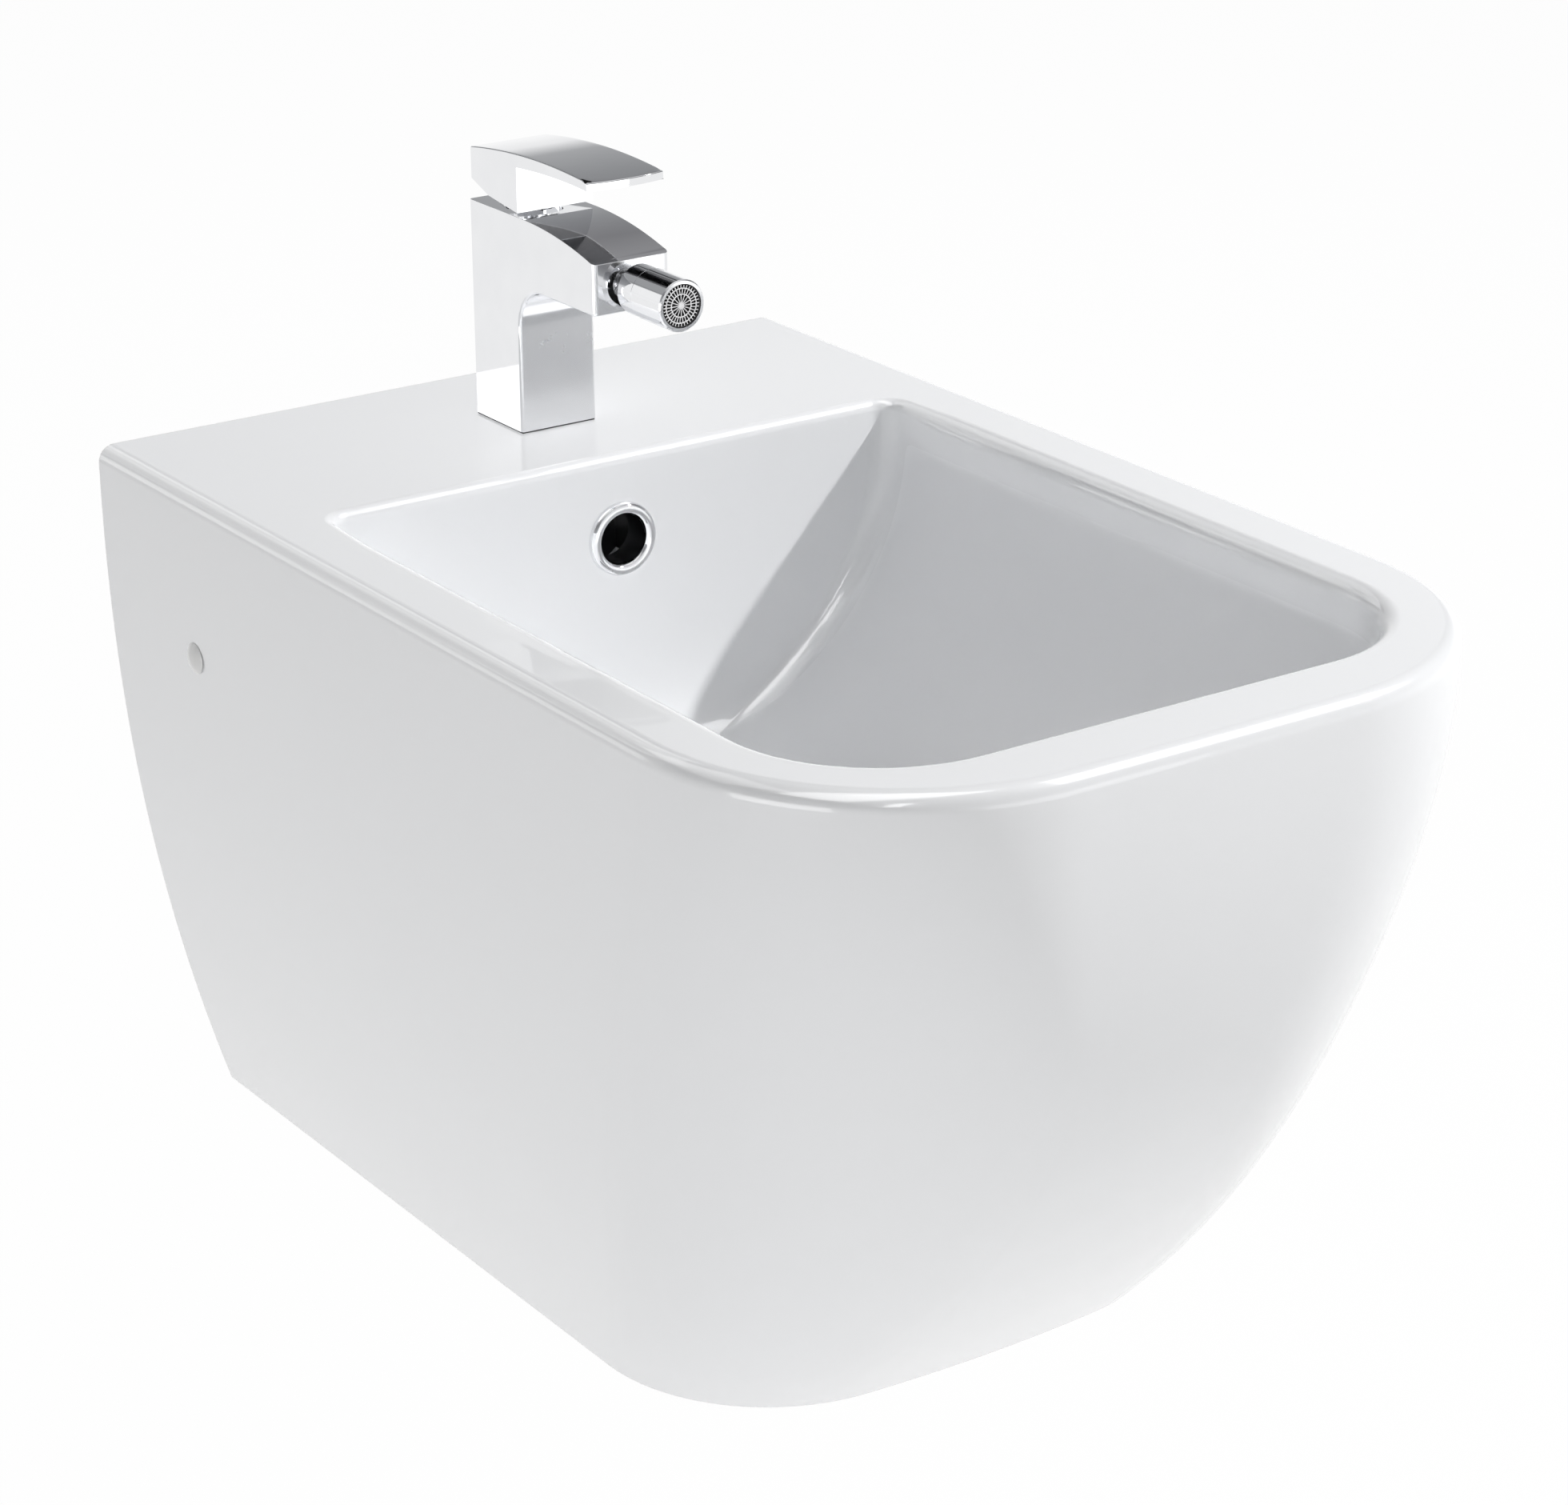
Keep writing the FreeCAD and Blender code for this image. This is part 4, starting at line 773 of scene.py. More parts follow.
class Assembly:
    """Makes, dresses and registers the pieces of one sub-assembly."""

    def copies(self, body: Body, rows: Sequence[tuple[str, str, Finish]]) -> None:
        """Smooth-shaded copies of CAD nodes that ride on one body.

        Args:
            body: The body.
            rows: For each copy the CAD node, the new piece's name and its finish.
        """
        for node, name, finish in rows:
            self.copy_of(node, name, finish, body)

    def copy_of(self, node: str, name: str, finish: Finish, body: Body) -> None:
        """Smooth-shaded copy of a CAD node that stands for it.

        Args:
            node: The CAD node.
            name: The new piece's name.
            finish: Its finish.
            body: The body it rides on.
        """
        piece = self.smooth_piece(self.merged(node), name, finish, body, COPY_CRISP)
        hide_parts(node)

    @staticmethod
    def merged(node: str) -> BMesh:
        """Copy of a CAD node's mesh with its seams closed.

        Args:
            node: The CAD node.

        Returns:
            The copy, to be worked on.
        """
        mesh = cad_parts[node].data.copy()
        for leftover in ("custom_normal", "sharp_edge", "sharp_face"):
            if leftover in mesh.attributes:
                mesh.attributes.remove(mesh.attributes[leftover])
        work = bmesh.new()
        work.from_mesh(mesh)
        bpy.data.meshes.remove(mesh)
        bmesh.ops.remove_doubles(work, verts=work.verts, dist=SEAM)
        bmesh.ops.dissolve_degenerate(work, edges=work.edges, dist=SEAM / 10)
        return work

    def smooth_piece(self, work: BMesh, name: str, finish: Finish, body: Body, sharp: float) -> bpy.types.Object:
        """Turns worked geometry into a piece with smooth faces and crisp edges.

        Args:
            work: The geometry, which is freed.
            name: The piece's name.
            finish: Its finish.
            body: The body it rides on.
            sharp: Edges that turn more than this, in degrees, stay crisp.

        Returns:
            The new piece.
        """
        mesh = bpy.data.meshes.new(name)
        work.to_mesh(mesh)
        work.free()
        mesh.shade_smooth()
        mesh.set_sharp_from_angle(angle=math.radians(sharp))
        piece = self.register(mesh, name, finish, body)
        weighted = piece.modifiers.new("even_shading", "WEIGHTED_NORMAL")
        weighted.keep_sharp = True
        return piece

    def add_hidden(self, work: BMesh, node: str, gap: float) -> None:
        """Joins a CAD node's faces that a new skin doesn't stand for.

        Args:
            work: The skin.
            node: The CAD node.
            gap: How far from the skin a face still counts as covered.
        """
        tree = BVHTree.FromBMesh(work)
        rest = self.merged(node)
        covered = []
        for face in rest.faces:
            _, normal, _, distance = tree.find_nearest(face.calc_center_median())
            if distance < gap and normal.dot(face.normal) > SAME_WAY:
                covered.append(face)
        bmesh.ops.delete(rest, geom=covered, context="FACES")
        hidden = bpy.data.meshes.new("hidden_faces")
        rest.to_mesh(hidden)
        rest.free()
        work.from_mesh(hidden)
        bpy.data.meshes.remove(hidden)

    @staticmethod
    def prism(outline: list[Vector], half: float, cuts: int) -> BMesh:
        """Solid between two flanks of the same outline.

        Args:
            outline: Points of the flank, on the centre plane.
            half: Half the width across the flanks.
            cuts: Cuts across the width.

        Returns:
            The solid, to be worked on.
        """
        work = bmesh.new()
        flank = bmesh.ops.contextual_create(work, geom=ring_edges(work, outline))["faces"]
        bmesh.ops.translate(work, verts=work.verts, vec=(-half, 0.0, 0.0))
        drawn = bmesh.ops.extrude_face_region(work, geom=flank)["geom"]
        ends = [item for item in drawn if isinstance(item, BMVert)]
        bmesh.ops.translate(work, verts=ends, vec=(2 * half, 0.0, 0.0))
        across = [edge for edge in work.edges if abs(edge.verts[0].co.x - edge.verts[1].co.x) > half]
        if cuts:
            bmesh.ops.subdivide_edges(work, edges=across, cuts=cuts, use_grid_fill=True)
        bmesh.ops.recalc_face_normals(work, faces=work.faces)
        return work

    @staticmethod
    def round_off(work: BMesh, radius: float, segments: int, chosen: Callable[[BMEdge], bool]) -> None:
        """Rounds the crisp edges of a solid for which chosen(edge) is true.

        Args:
            work: The solid.
            radius: The rounding.
            segments: Faces across it.
            chosen: Tells which of the crisp edges are rounded.
        """
        crisp = [edge for edge in work.edges if edge.calc_face_angle(0.0) > CRISP and chosen(edge)]
        bmesh.ops.bevel(
            work, geom=crisp, offset=radius, offset_type="OFFSET", segments=segments, profile=0.5,
            affect="EDGES", material=-1, clamp_overlap=True)

    @staticmethod
    def open_face(work: BMesh, way: Axis, sign: float, hole: list[Vector]) -> None:
        """Cuts a hole in the largest flat face that looks one way.

        Args:
            work: The solid.
            way: The axis that the face is square to.
            sign: Whether it looks along the axis or against it.
            hole: The hole's edge, in the face's plane.
        """
        look = sign * Vector(way.value)
        facing = [face for face in work.faces if face.normal.dot(look) > ALIKE]
        largest = max(facing, key=lambda face: face.calc_area())
        border = list(largest.edges)
        bmesh.ops.delete(work, geom=[largest], context="FACES_ONLY")
        bmesh.ops.triangle_fill(work, use_beauty=True, normal=look, edges=border + ring_edges(work, hole))

    @staticmethod
    def register(mesh: bpy.types.Mesh, name: str, finish: Finish, body: Body) -> bpy.types.Object:
        """Adds a finished mesh to the scene as a piece.

        Args:
            mesh: The mesh, in the row frame.
            name: The piece's name.
            finish: Its finish.
            body: The body it rides on.

        Returns:
            The new piece.
        """
        piece = placed(name, mesh)
        mesh.materials.clear()
        mesh.materials.append(finish.material())
        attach(piece, body.value)
        log.info("piece %s on %s", name, body.value)
        return piece

    @staticmethod
    def dress(node: str, finish: Finish) -> None:
        """Gives a CAD node that stays in view its finish.

        Args:
            node: The CAD node.
            finish: The finish.
        """
        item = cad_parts[node]
        item.data.materials.clear()
        item.data.materials.append(finish.material())
        log.info("finish %s on %s", finish.name, node)

    def build(self) -> None:
        """Builds the sub-assembly; each has its own."""
        raise NotImplementedError


@dataclass(frozen=True)
class SkirtLaw:
    """Outlines of the shell's outside, in metres: below a straight rim, sizes follow powers of the height."""

    width: float = 0.360
    depth: float = 0.553
    height: float = 0.320
    side_inset: float = 0.047
    side_power: float = 2.13
    front_inset: float = 0.1386
    front_power: float = 2.1
    corner_top: float = 0.1145
    corner_swell: float = 0.020
    corner_bottom: float = 0.0802
    front_radius_top: float = 8.0
    front_radius_bottom: float = 0.694
    rim_band: float = 0.012
    rim_round: float = 0.0077
    side_steps: int = 40
    arc_steps: int = 36

    def share(self, drop: float) -> float:
        """Share of the tapering skirt that lies above a drop below the deck."""
        return max(drop - self.rim_band, 0.0) / (self.height - self.rim_band)

    def half_width(self, drop: float) -> float:
        """Half the width at a drop below the deck."""
        return self.width / 2 - self.side_inset * self.share(drop) ** self.side_power

    def outline(self, drop: float, inset: float) -> list[Vector]:
        """Open outline from the wall round the front and back to the wall.

        Args:
            drop: How far the outline lies below the deck.
            inset: How far it is drawn in.

        Returns:
            Its points, at the height of the drop below zero.
        """
        share = self.share(drop)
        half = self.half_width(drop) - inset
        front = self.depth - self.front_inset * share ** self.front_power - inset
        swell = self.corner_swell * (4 * share * (1 - share)) ** 2
        corner = self.corner_top + (self.corner_bottom - self.corner_top) * share ** 2 + swell - inset
        curve = 1 / ((1 - share) / self.front_radius_top + share / self.front_radius_bottom) - inset
        gap = curve - corner
        across = half - corner
        lean = math.acos(across / gap)
        corner_y = curve - front - gap * math.sin(lean)
        side = [Vector((half, corner_y * step / self.side_steps, -drop)) for step in range(self.side_steps)]
        bend = arc(Vector((across, corner_y, -drop)), corner, 0.0, -lean, self.arc_steps)
        nose = arc(Vector((0.0, curve - front, -drop)), curve, -lean, -math.pi / 2, self.arc_steps)
        return mirrored(side + bend[:-1] + nose)

    def rings(self, rows: int, rim_rows: int) -> list[list[Vector]]:
        """Outlines from the foot up and over the rounded rim on to the deck.

        Args:
            rows: Rows up the skirt.
            rim_rows: Rows over the rim.

        Returns:
            The outlines, lowest first.
        """
        tall = self.height - self.rim_round
        found = [self.outline(self.height - tall * row / rows, 0.0) for row in range(rows)]
        for row in range(rim_rows + 1):
            turn = math.pi / 2 * row / rim_rows
            found.append(self.outline(
                self.rim_round * (1 - math.sin(turn)), self.rim_round * (1 - math.cos(turn))))
        return found


@dataclass(frozen=True)
class BasinLaw:
    """Outlines of the basin, in metres: a straight mouth, then down a quarter ellipse."""

    deck_depth: float = 0.1434
    width: float = 0.2896
    front: float = 0.5118
    corner: float = 0.0613
    back_corner: float = 0.010
    band: float = 0.010
    depth: float = 0.13265
    front_power: float = 0.7
    flat_power: float = 2.5
    back_sweep: float = 0.025
    back_power: float = 8.0
    back_round: float = 0.005
    side_round: float = 0.008
    round_change: float = 0.05
    floor_angle: float = 75.0
    steps: int = 28

    def floor_drop(self) -> float:
        """Depth of the basin's flat floor below the deck."""
        return self.band + self.depth * math.sin(math.radians(self.floor_angle))

    def outline(self, drop: float, grow: float) -> list[Vector]:
        """Closed outline at a drop below the deck.

        Args:
            drop: How far the outline lies below the deck.
            grow: How far it is drawn out.

        Returns:
            Its points, from the middle of the back round to it again, with no point twice.
        """
        dip = math.asin(max(drop - self.band, 0.0) / self.depth)
        level = math.cos(dip)
        half = self.width / 2 * level + grow
        back = self.deck_depth + self.back_sweep * math.sin(dip) ** self.back_power - grow
        front = self.deck_depth + (self.front - self.deck_depth) * level ** self.front_power + grow
        corner = half - (self.width / 2 - self.corner) * level ** self.flat_power
        nook = self.back_corner + grow
        rear = [Vector(((half - nook) * step / self.steps, -back, -drop)) for step in range(self.steps)]
        turn = arc(Vector((half - nook, -back - nook, -drop)), nook, math.pi / 2, 0.0, self.steps)
        long = front - corner - back - nook
        side = [Vector((half, -back - nook - long * step / self.steps, -drop)) for step in range(self.steps)]
        bend = arc(Vector((half - corner, corner - front, -drop)), corner, 0.0, -math.pi / 2, self.steps)
        last = half - corner
        nose = [Vector((last * (1 - step / self.steps), -front, -drop)) for step in range(self.steps + 1)]
        return mirrored(rear + turn[:-1] + side + bend[:-1] + nose)[:-1]

    def rings(self, rows: int, lip_rows: int) -> list[list[Vector]]:
        """Outlines from the deck over the rounded lip and down to the floor.

        Args:
            rows: Rows down the wall.
            lip_rows: Rows over the lip.

        Returns:
            The outlines, highest first.
        """
        found = [self.lip(math.pi / 2 * (1 - row / lip_rows)) for row in range(lip_rows + 1)]
        end = math.radians(self.floor_angle)
        for row in range(rows + 1):
            found.append(self.outline(self.band + self.depth * math.sin(end * row / rows), 0.0))
        return found

    def lip(self, turn: float) -> list[Vector]:
        """Outline on the rounded lip, which is tighter along the back than round the sides and front.

        Args:
            turn: Angle on the round, from a quarter turn on the deck to nothing on the wall.

        Returns:
            The outline's points.
        """
        low, out = 1 - math.sin(turn), 1 - math.cos(turn)
        tight = self.outline(self.back_round * low, self.back_round * out)
        wide = self.outline(self.side_round * low, self.side_round * out)
        found = []
        for first, second in zip(tight, wide):
            share = min(max((-first.y - self.deck_depth) / self.round_change, 0.0), 1.0)
            found.append(first.lerp(second, share * share * (3 - 2 * share)))
        return found


@dataclass
class CeramicShell(Assembly):
    """The glazed shell: a clean outer skin over the CAD node's hidden faces."""

    skirt: SkirtLaw = SkirtLaw()
    basin: BasinLaw = BasinLaw()
    deck: float = 0.075
    skirt_rows: int = 56
    basin_rows: int = 48
    round_rows: int = 10
    tap_hole: tuple[float, float] = (-0.074, 0.0175)
    waste_hole: tuple[float, float] = (-0.238, 0.023)
    overflow_hole: tuple[float, float] = (0.0383, 0.013)
    side_hole: tuple[float, float, float] = (-0.081, 0.075, 0.0062)
    hole_steps: int = 48
    hole_room: float = 0.006
    skin_gap: float = 0.0015
    crisp: float = 32.0

    def build(self) -> None:
        """Makes the skin, joins the CAD node's hidden faces to it and dresses both."""
        work = bmesh.new()
        outside = lofted(work, self.skirt.rings(self.skirt_rows, self.round_rows), closed=False)
        inside = lofted(work, self.basin.rings(self.basin_rows, self.round_rows), closed=True)
        self.fill_deck(work, outside, inside)
        self.fill_floor(work, inside)
        self.open_holes(work)
        bmesh.ops.translate(work, verts=work.verts, vec=(0.0, 0.0, self.deck))
        bmesh.ops.recalc_face_normals(work, faces=work.faces)
        highest = max(work.faces, key=lambda face: face.calc_center_median().z)
        if highest.normal.z < 0:
            bmesh.ops.reverse_faces(work, faces=work.faces)
        self.add_hidden(work, "ceramic_body", self.skin_gap)
        piece = self.smooth_piece(work, "glazed_shell", GLAZE, Body.BOWL, self.crisp)
        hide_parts("ceramic_body")

    def fill_deck(self, work: BMesh, outside: Rings, inside: Rings) -> None:
        """Fills the flat deck between the rim, the wall, the basin's lip and the tap hole.

        Args:
            work: The skin.
            outside: The skirt's rings of points.
            inside: The basin's rings of points.
        """
        rim = outside[-1]
        along = edges_of(rim, closed=False) + [work.edges.new((rim[-1], rim[0]))]
        hole = circle(Vector((0.0, self.tap_hole[0], 0.0)), self.tap_hole[1], Axis.Z, self.hole_steps)
        tap = ring_edges(work, hole)
        bmesh.ops.triangle_fill(
            work, use_beauty=True, edges=along + edges_of(inside[0], closed=True) + tap)

    def fill_floor(self, work: BMesh, inside: Rings) -> None:
        """Fills the basin's floor round the waste hole.

        Args:
            work: The skin.
            inside: The basin's rings of points.
        """
        middle = Vector((0.0, self.waste_hole[0], -self.basin.floor_drop()))
        hole = ring_edges(work, circle(middle, self.waste_hole[1], Axis.Z, self.hole_steps))
        bmesh.ops.bridge_loops(work, edges=edges_of(inside[-1], closed=True) + hole)

    def open_holes(self, work: BMesh) -> None:
        """Cuts the overflow hole and the two side holes.

        Args:
            work: The skin.
        """
        drop, radius = self.overflow_hole
        rear = Vector((0.0, -self.basin.deck_depth, -drop))
        self.open_round(work, circle(rear, radius, Axis.Y, self.hole_steps), rear, radius)
        reach, drop, radius = self.side_hole
        for side in (-1.0, 1.0):
            middle = Vector((side * self.skirt.half_width(drop), reach, -drop))
            points = circle(middle, radius, Axis.X, self.hole_steps)
            for point in points:
                point.x = side * self.skirt.half_width(-point.z)
            self.open_round(work, points, middle, radius)

    def open_round(self, work: BMesh, points: list[Vector], middle: Vector, radius: float) -> None:
        """Cuts one round hole in the skin.

        Args:
            work: The skin.
            points: The hole's edge.
            middle: Its centre.
            radius: Its radius.
        """
        room = radius + self.hole_room
        gone = [face for face in work.faces if (face.calc_center_median() - middle).length < room]
        around = {edge for face in gone for edge in face.edges}
        bmesh.ops.delete(work, geom=gone, context="FACES")
        border = [edge for edge in around if edge.is_valid and edge.is_boundary]
        bmesh.ops.bridge_loops(work, edges=border + ring_edges(work, points))


@dataclass
class WallFixing(Assembly):
    """Concealed wall fixing with its side caps."""

    sides: tuple[str, str] = ("left", "right")

    def build(self) -> None:
        """Dresses the caps, barrels, sleeves and side screws."""
        for side in self.sides:
            self.copies(Body.BOWL, (
                (f"side_cap_{side}", f"cap_{side}", CAP),
                (f"fixing_barrel_{side}", f"barrel_{side}", STEEL),
                (f"fixing_sleeve_{side}", f"sleeve_{side}", SLEEVE),
            ))
        self.copy_of("side_screws", "side_screw_pair", STEEL, Body.BOWL)


@dataclass
class Overflow(Assembly):
    """Overflow ring on the basin's back wall."""

    def build(self) -> None:
        """Dresses the ring."""
        self.copy_of("overflow_ring", "overflow_lip", CHROME, Body.BOWL)


@dataclass
class Waste(Assembly):
    """Push-open waste."""

    def build(self) -> None:
        """Dresses the waste's fixed and rising pieces."""
        self.copies(Body.BOWL, (
            ("waste_body", "waste_tail", CHROME),
            ("waste_lock_nut", "waste_nut", STEEL),
            ("waste_gasket", "waste_packing", RUBBER),
            ("waste_flange_seal", "waste_washer", RUBBER),
            ("click_body", "latch_barrel", BRASS),
            ("click_spring", "latch_spring", SPRING),
        ))
        self.copies(Body.PLUG, (
            ("plug_cap", "plug_dome", CHROME),
            ("plug_seal", "plug_ring", RUBBER),
            ("click_stem", "latch_stem", STEEL),
        ))


@dataclass
class TapBody(Assembly):
    """Mixer body with its fixing under the deck; sizes in metres from the middle of its foot."""

    foot: Point = (0.0, -0.074, 0.075)
    half_width: float = 0.01925
    back: float = 0.020
    seal: float = 0.0008
    top: float = 0.0985
    reach: float = 0.082
    under: float = 0.0675
    arch: float = 0.019
    crown_start: float = 0.023
    crown: float = 0.216
    corner: float = 0.005
    edge: float = 0.0015
    fine_edge: float = 0.00025
    recess: tuple[float, float] = (0.0785, 0.010)
    bore: float = 0.0137
    steps: int = 24
    hole_steps: int = 64
    corner_faces: int = 12
    edge_faces: int = 5
    fine_faces: int = 3
    crisp: float = 35.0
    near: float = 1e-5
    skin_gap: float = 0.0012

    def build(self) -> None:
        """Makes the body, and dresses its seal and the clamp."""
        self.make_body()
        self.copies(Body.BOWL, (
            ("tap_base_seal", "mixer_seal", RUBBER),
            ("tap_stud", "mixer_stud", BRASS),
            ("tap_stud_nut", "mixer_nut", BRASS),
            ("clamp_rubber", "clamp_pad", RUBBER),
            ("clamp_plate", "clamp_washer", STEEL),
        ))

    def flank(self) -> list[Vector]:
        """Outline of the flank: foot, back, top, crowned spout, lip, underside and arch."""
        fall = math.asin((self.reach - self.crown_start) / self.crown)
        upright = math.pi / 2
        crown = arc(Vector((-self.crown_start, self.top - self.crown, 0.0)), self.crown, upright, upright + fall,
                    self.steps)
        middle = Vector((-self.back - self.arch, self.under - self.arch, 0.0))
        arch = arc(middle, self.arch, upright, 0.0, self.steps)
        flat = [Vector((self.back, self.seal, 0.0)), Vector((self.back, self.top, 0.0)), *crown,
                Vector((-self.reach, self.under, 0.0)), *arch, Vector((-self.back, self.seal, 0.0))]
        return [Vector((0.0, point.x, point.y)) for point in flat]

    def make_body(self) -> None:
        """Column and arched spout with rounded edges, over the CAD node's hidden ways and bores."""
        work = self.prism(self.flank(), self.half_width, 0)
        front = self.near - self.reach
        low = self.seal + self.near
        high = self.under + self.edge

        def heights(edge: BMEdge) -> tuple[float, float]:
            ends = sorted(point.co.z for point in edge.verts)
            return ends[0], ends[1]

        def upright(edge: BMEdge) -> bool:
            ahead = all(point.co.y < front for point in edge.verts)
            return ahead and heights(edge)[1] - heights(edge)[0] > self.edge

        def lower(edge: BMEdge) -> bool:
            return heights(edge)[0] < high and heights(edge)[1] > low

        self.round_off(work, self.corner, self.corner_faces, upright)
        self.round_off(work, self.edge, self.edge_faces, lower)
        self.round_off(work, self.fine_edge, self.fine_faces, lambda edge: heights(edge)[0] > high)
        drop, radius = self.recess
        spout = circle(Vector((0.0, -self.reach, drop)), radius, Axis.Y, self.hole_steps)
        self.open_face(work, Axis.Y, -1.0, spout)
        bore = circle(Vector((0.0, 0.0, self.top)), self.bore, Axis.Z, self.hole_steps)
        self.open_face(work, Axis.Z, 1.0, bore)
        bmesh.ops.translate(work, verts=work.verts, vec=self.foot)
        self.add_hidden(work, "tap_body", self.skin_gap)
        piece = self.smooth_piece(work, "mixer_body", COLUMN_PLATE, Body.BOWL, self.crisp)
        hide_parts("tap_body")


@dataclass
class Cartridge(Assembly):
    """Ceramic-disc cartridge inside the mixer."""

    inner: dict[str, Finish] = field(default_factory=lambda: {
        "cartridge_distributor": CARTRIDGE,
        "fixed_disc": ALUMINA,
        "cartridge_housing": CARTRIDGE,
        "cartridge_nut": BRASS,
        "moving_disc": ALUMINA,
        "disc_carrier": CARTRIDGE,
        "stem_guide": CARTRIDGE,
        "pivot_pin": STEEL,
        "lever_stem": STEEL,
    })

    def build(self) -> None:
        """Dresses the inner pieces, and the shroud that shows under the lever."""
        for node, finish in self.inner.items():
            self.dress(node, finish)
        self.copy_of("lever_shroud", "shroud_ring", CHROME, Body.BOWL)


@dataclass
class Lever(Assembly):
    """Lever handle; sizes in metres from the middle of the mixer's foot."""

    foot: Point = (0.0, -0.074, 0.075)
    half_width: float = 0.01925
    back: float = 0.0173
    front: float = 0.0804
    back_top: float = 0.1225
    front_top: float = 0.1251
    crown: float = 0.390
    lip: float = 0.0036
    root: float = 0.021
    root_top: float = 0.1205
    root_bottom: float = 0.1003
    knee: tuple[float, float] = (0.0032, 0.1033)
    heel: float = 0.1084
    bow: float = 0.0022
    edge: float = 0.0006
    fine_edge: float = 0.0003
    steps: int = 32
    cuts: int = 15
    edge_faces: int = 4
    fine_faces: int = 3
    crisp: float = 35.0
    near: float = 1e-5
    skin_gap: float = 0.0008

    def build(self) -> None:
        """Makes the handle, and dresses its grub screw and the plug over it."""
        self.make_handle()
        self.copy_of("lever_grub_screw", "grub_screw", STEEL, Body.LEVER)
        self.copy_of("indicator_plug", "grub_plug", INDICATOR, Body.LEVER)

    def bent(self, start: tuple[float, float], end: tuple[float, float]) -> list[Vector]:
        """Points on an upward bulge between two points of the flank.

        Args:
            start: The first point, along and up.
            end: The last point.

        Returns:
            The points, both ends included.
        """
        first, last = Vector((*start, 0.0)), Vector((*end, 0.0))
        half = (last - first).length / 2
        middle = (first + last) / 2
        down = Vector((last.y - first.y, first.x - last.x, 0.0)).normalized()
        down = down if down.y < 0 else -down
        centre = middle + down * math.sqrt(self.crown ** 2 - half ** 2)
        angles = [math.atan2(point.y - centre.y, point.x - centre.x) for point in (first, last)]
        return arc(centre, self.crown, angles[0], angles[1], self.steps)

    def flank(self) -> list[Vector]:
        """Outline of the flank: heel, back, crowned top, lip, underside, block and knee."""
        top = self.bent((self.back, self.back_top), (-self.front, self.front_top))
        under = self.bent((-self.front, self.front_top - self.lip), (-self.root, self.root_top))
        flat = [Vector((self.back, self.heel, 0.0)), *top, *under,
                Vector((-self.root, self.root_bottom, 0.0)), Vector((*self.knee, 0.0))]
        return [Vector((0.0, point.x, point.y)) for point in flat]

    def make_handle(self) -> None:
        """Crowned blade with a bowed front and its block, over the CAD node's hidden cavity."""
        work = self.prism(self.flank(), self.half_width, self.cuts)
        for point in work.verts:
            if point.co.y < self.near - self.front:
                point.co.y += self.bow * (point.co.x / self.half_width) ** 2
        upper = self.back_top - self.near

        def lowest(edge: BMEdge) -> float:
            return min(point.co.z for point in edge.verts)

        def blade(edge: BMEdge) -> bool:
            ahead = max(point.co.y for point in edge.verts) < self.near - self.root
            return ahead and lowest(edge) > self.root_bottom - self.near and lowest(edge) < upper - self.edge

        self.round_off(work, self.edge, self.edge_faces, lambda edge: lowest(edge) > upper)
        self.round_off(work, self.fine_edge, self.fine_faces, blade)
        gone = [face for face in work.faces
                if face.normal.y > ALIKE or face.normal.z < -SAME_WAY and face.calc_center_median().y > -self.root]
        bmesh.ops.delete(work, geom=gone, context="FACES")
        bmesh.ops.translate(work, verts=work.verts, vec=self.foot)
        self.add_hidden(work, "lever_handle", self.skin_gap)
        piece = self.smooth_piece(work, "lever_blade", LEVER_PLATE, Body.LEVER, self.crisp)
        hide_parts("lever_handle")


@dataclass
class Nozzle(Assembly):
    """Ball-jointed nozzle."""

    gauze_radius: float = 0.0088
    gauze_place: Point = (0.0, -0.1924, 0.1535)
    gauze_thickness: float = 0.0003
    gauze_steps: int = 64
    crisp: float = 30.0

    def build(self) -> None:
        """Dresses the ball, seat, collar, sleeve and screen."""
        self.copy_of("ball_stud", "nozzle_ball", CHROME, Body.BOWL)
        self.dress("ball_seat", SLEEVE)
        self.copy_of("nozzle_collar", "nozzle_ring", CHROME, Body.NOZZLE)
        self.copy_of("nozzle_sleeve", "nozzle_barrel", CHROME, Body.NOZZLE)
        self.dress("nozzle_seal", RUBBER)
        self.copy_of("aerator", "nozzle_screen", SCREEN, Body.NOZZLE)
        self.make_gauze()

    def make_gauze(self) -> None:
        """Puts a fine wire gauze behind the screen's slots, dark with painted shade."""
        work = bmesh.new()
        bmesh.ops.create_circle(work, cap_ends=True, segments=self.gauze_steps, radius=self.gauze_radius)
        turn = Vector((0.0, 0.0, 1.0)).rotation_difference(Vector((0.0, -1.0, 0.0))).to_matrix()
        bmesh.ops.rotate(work, verts=work.verts, cent=(0.0, 0.0, 0.0), matrix=turn)
        bmesh.ops.translate(work, verts=work.verts, vec=self.gauze_place)
        bmesh.ops.solidify(work, geom=work.faces, thickness=self.gauze_thickness)
        bmesh.ops.recalc_face_normals(work, faces=work.faces)
        self.smooth_piece(work, "nozzle_gauze", GAUZE, Body.NOZZLE, self.crisp)


# Studio

WHITE = (1.0, 1.0, 1.0)
PALE_CARD = (0.36, 0.365, 0.375)
GREY_CARD = (0.26, 0.265, 0.275)
BLACK_CARD = (0.01, 0.01, 0.01)


class Reach(Enum):
    """What a lamp acts on."""

    FULL = "light and mirror images on everything"
    MATT = "light without a mirror image"
    GLINT = "mirror images on the glaze alone"
    RING = "mirror images on the overflow ring alone"


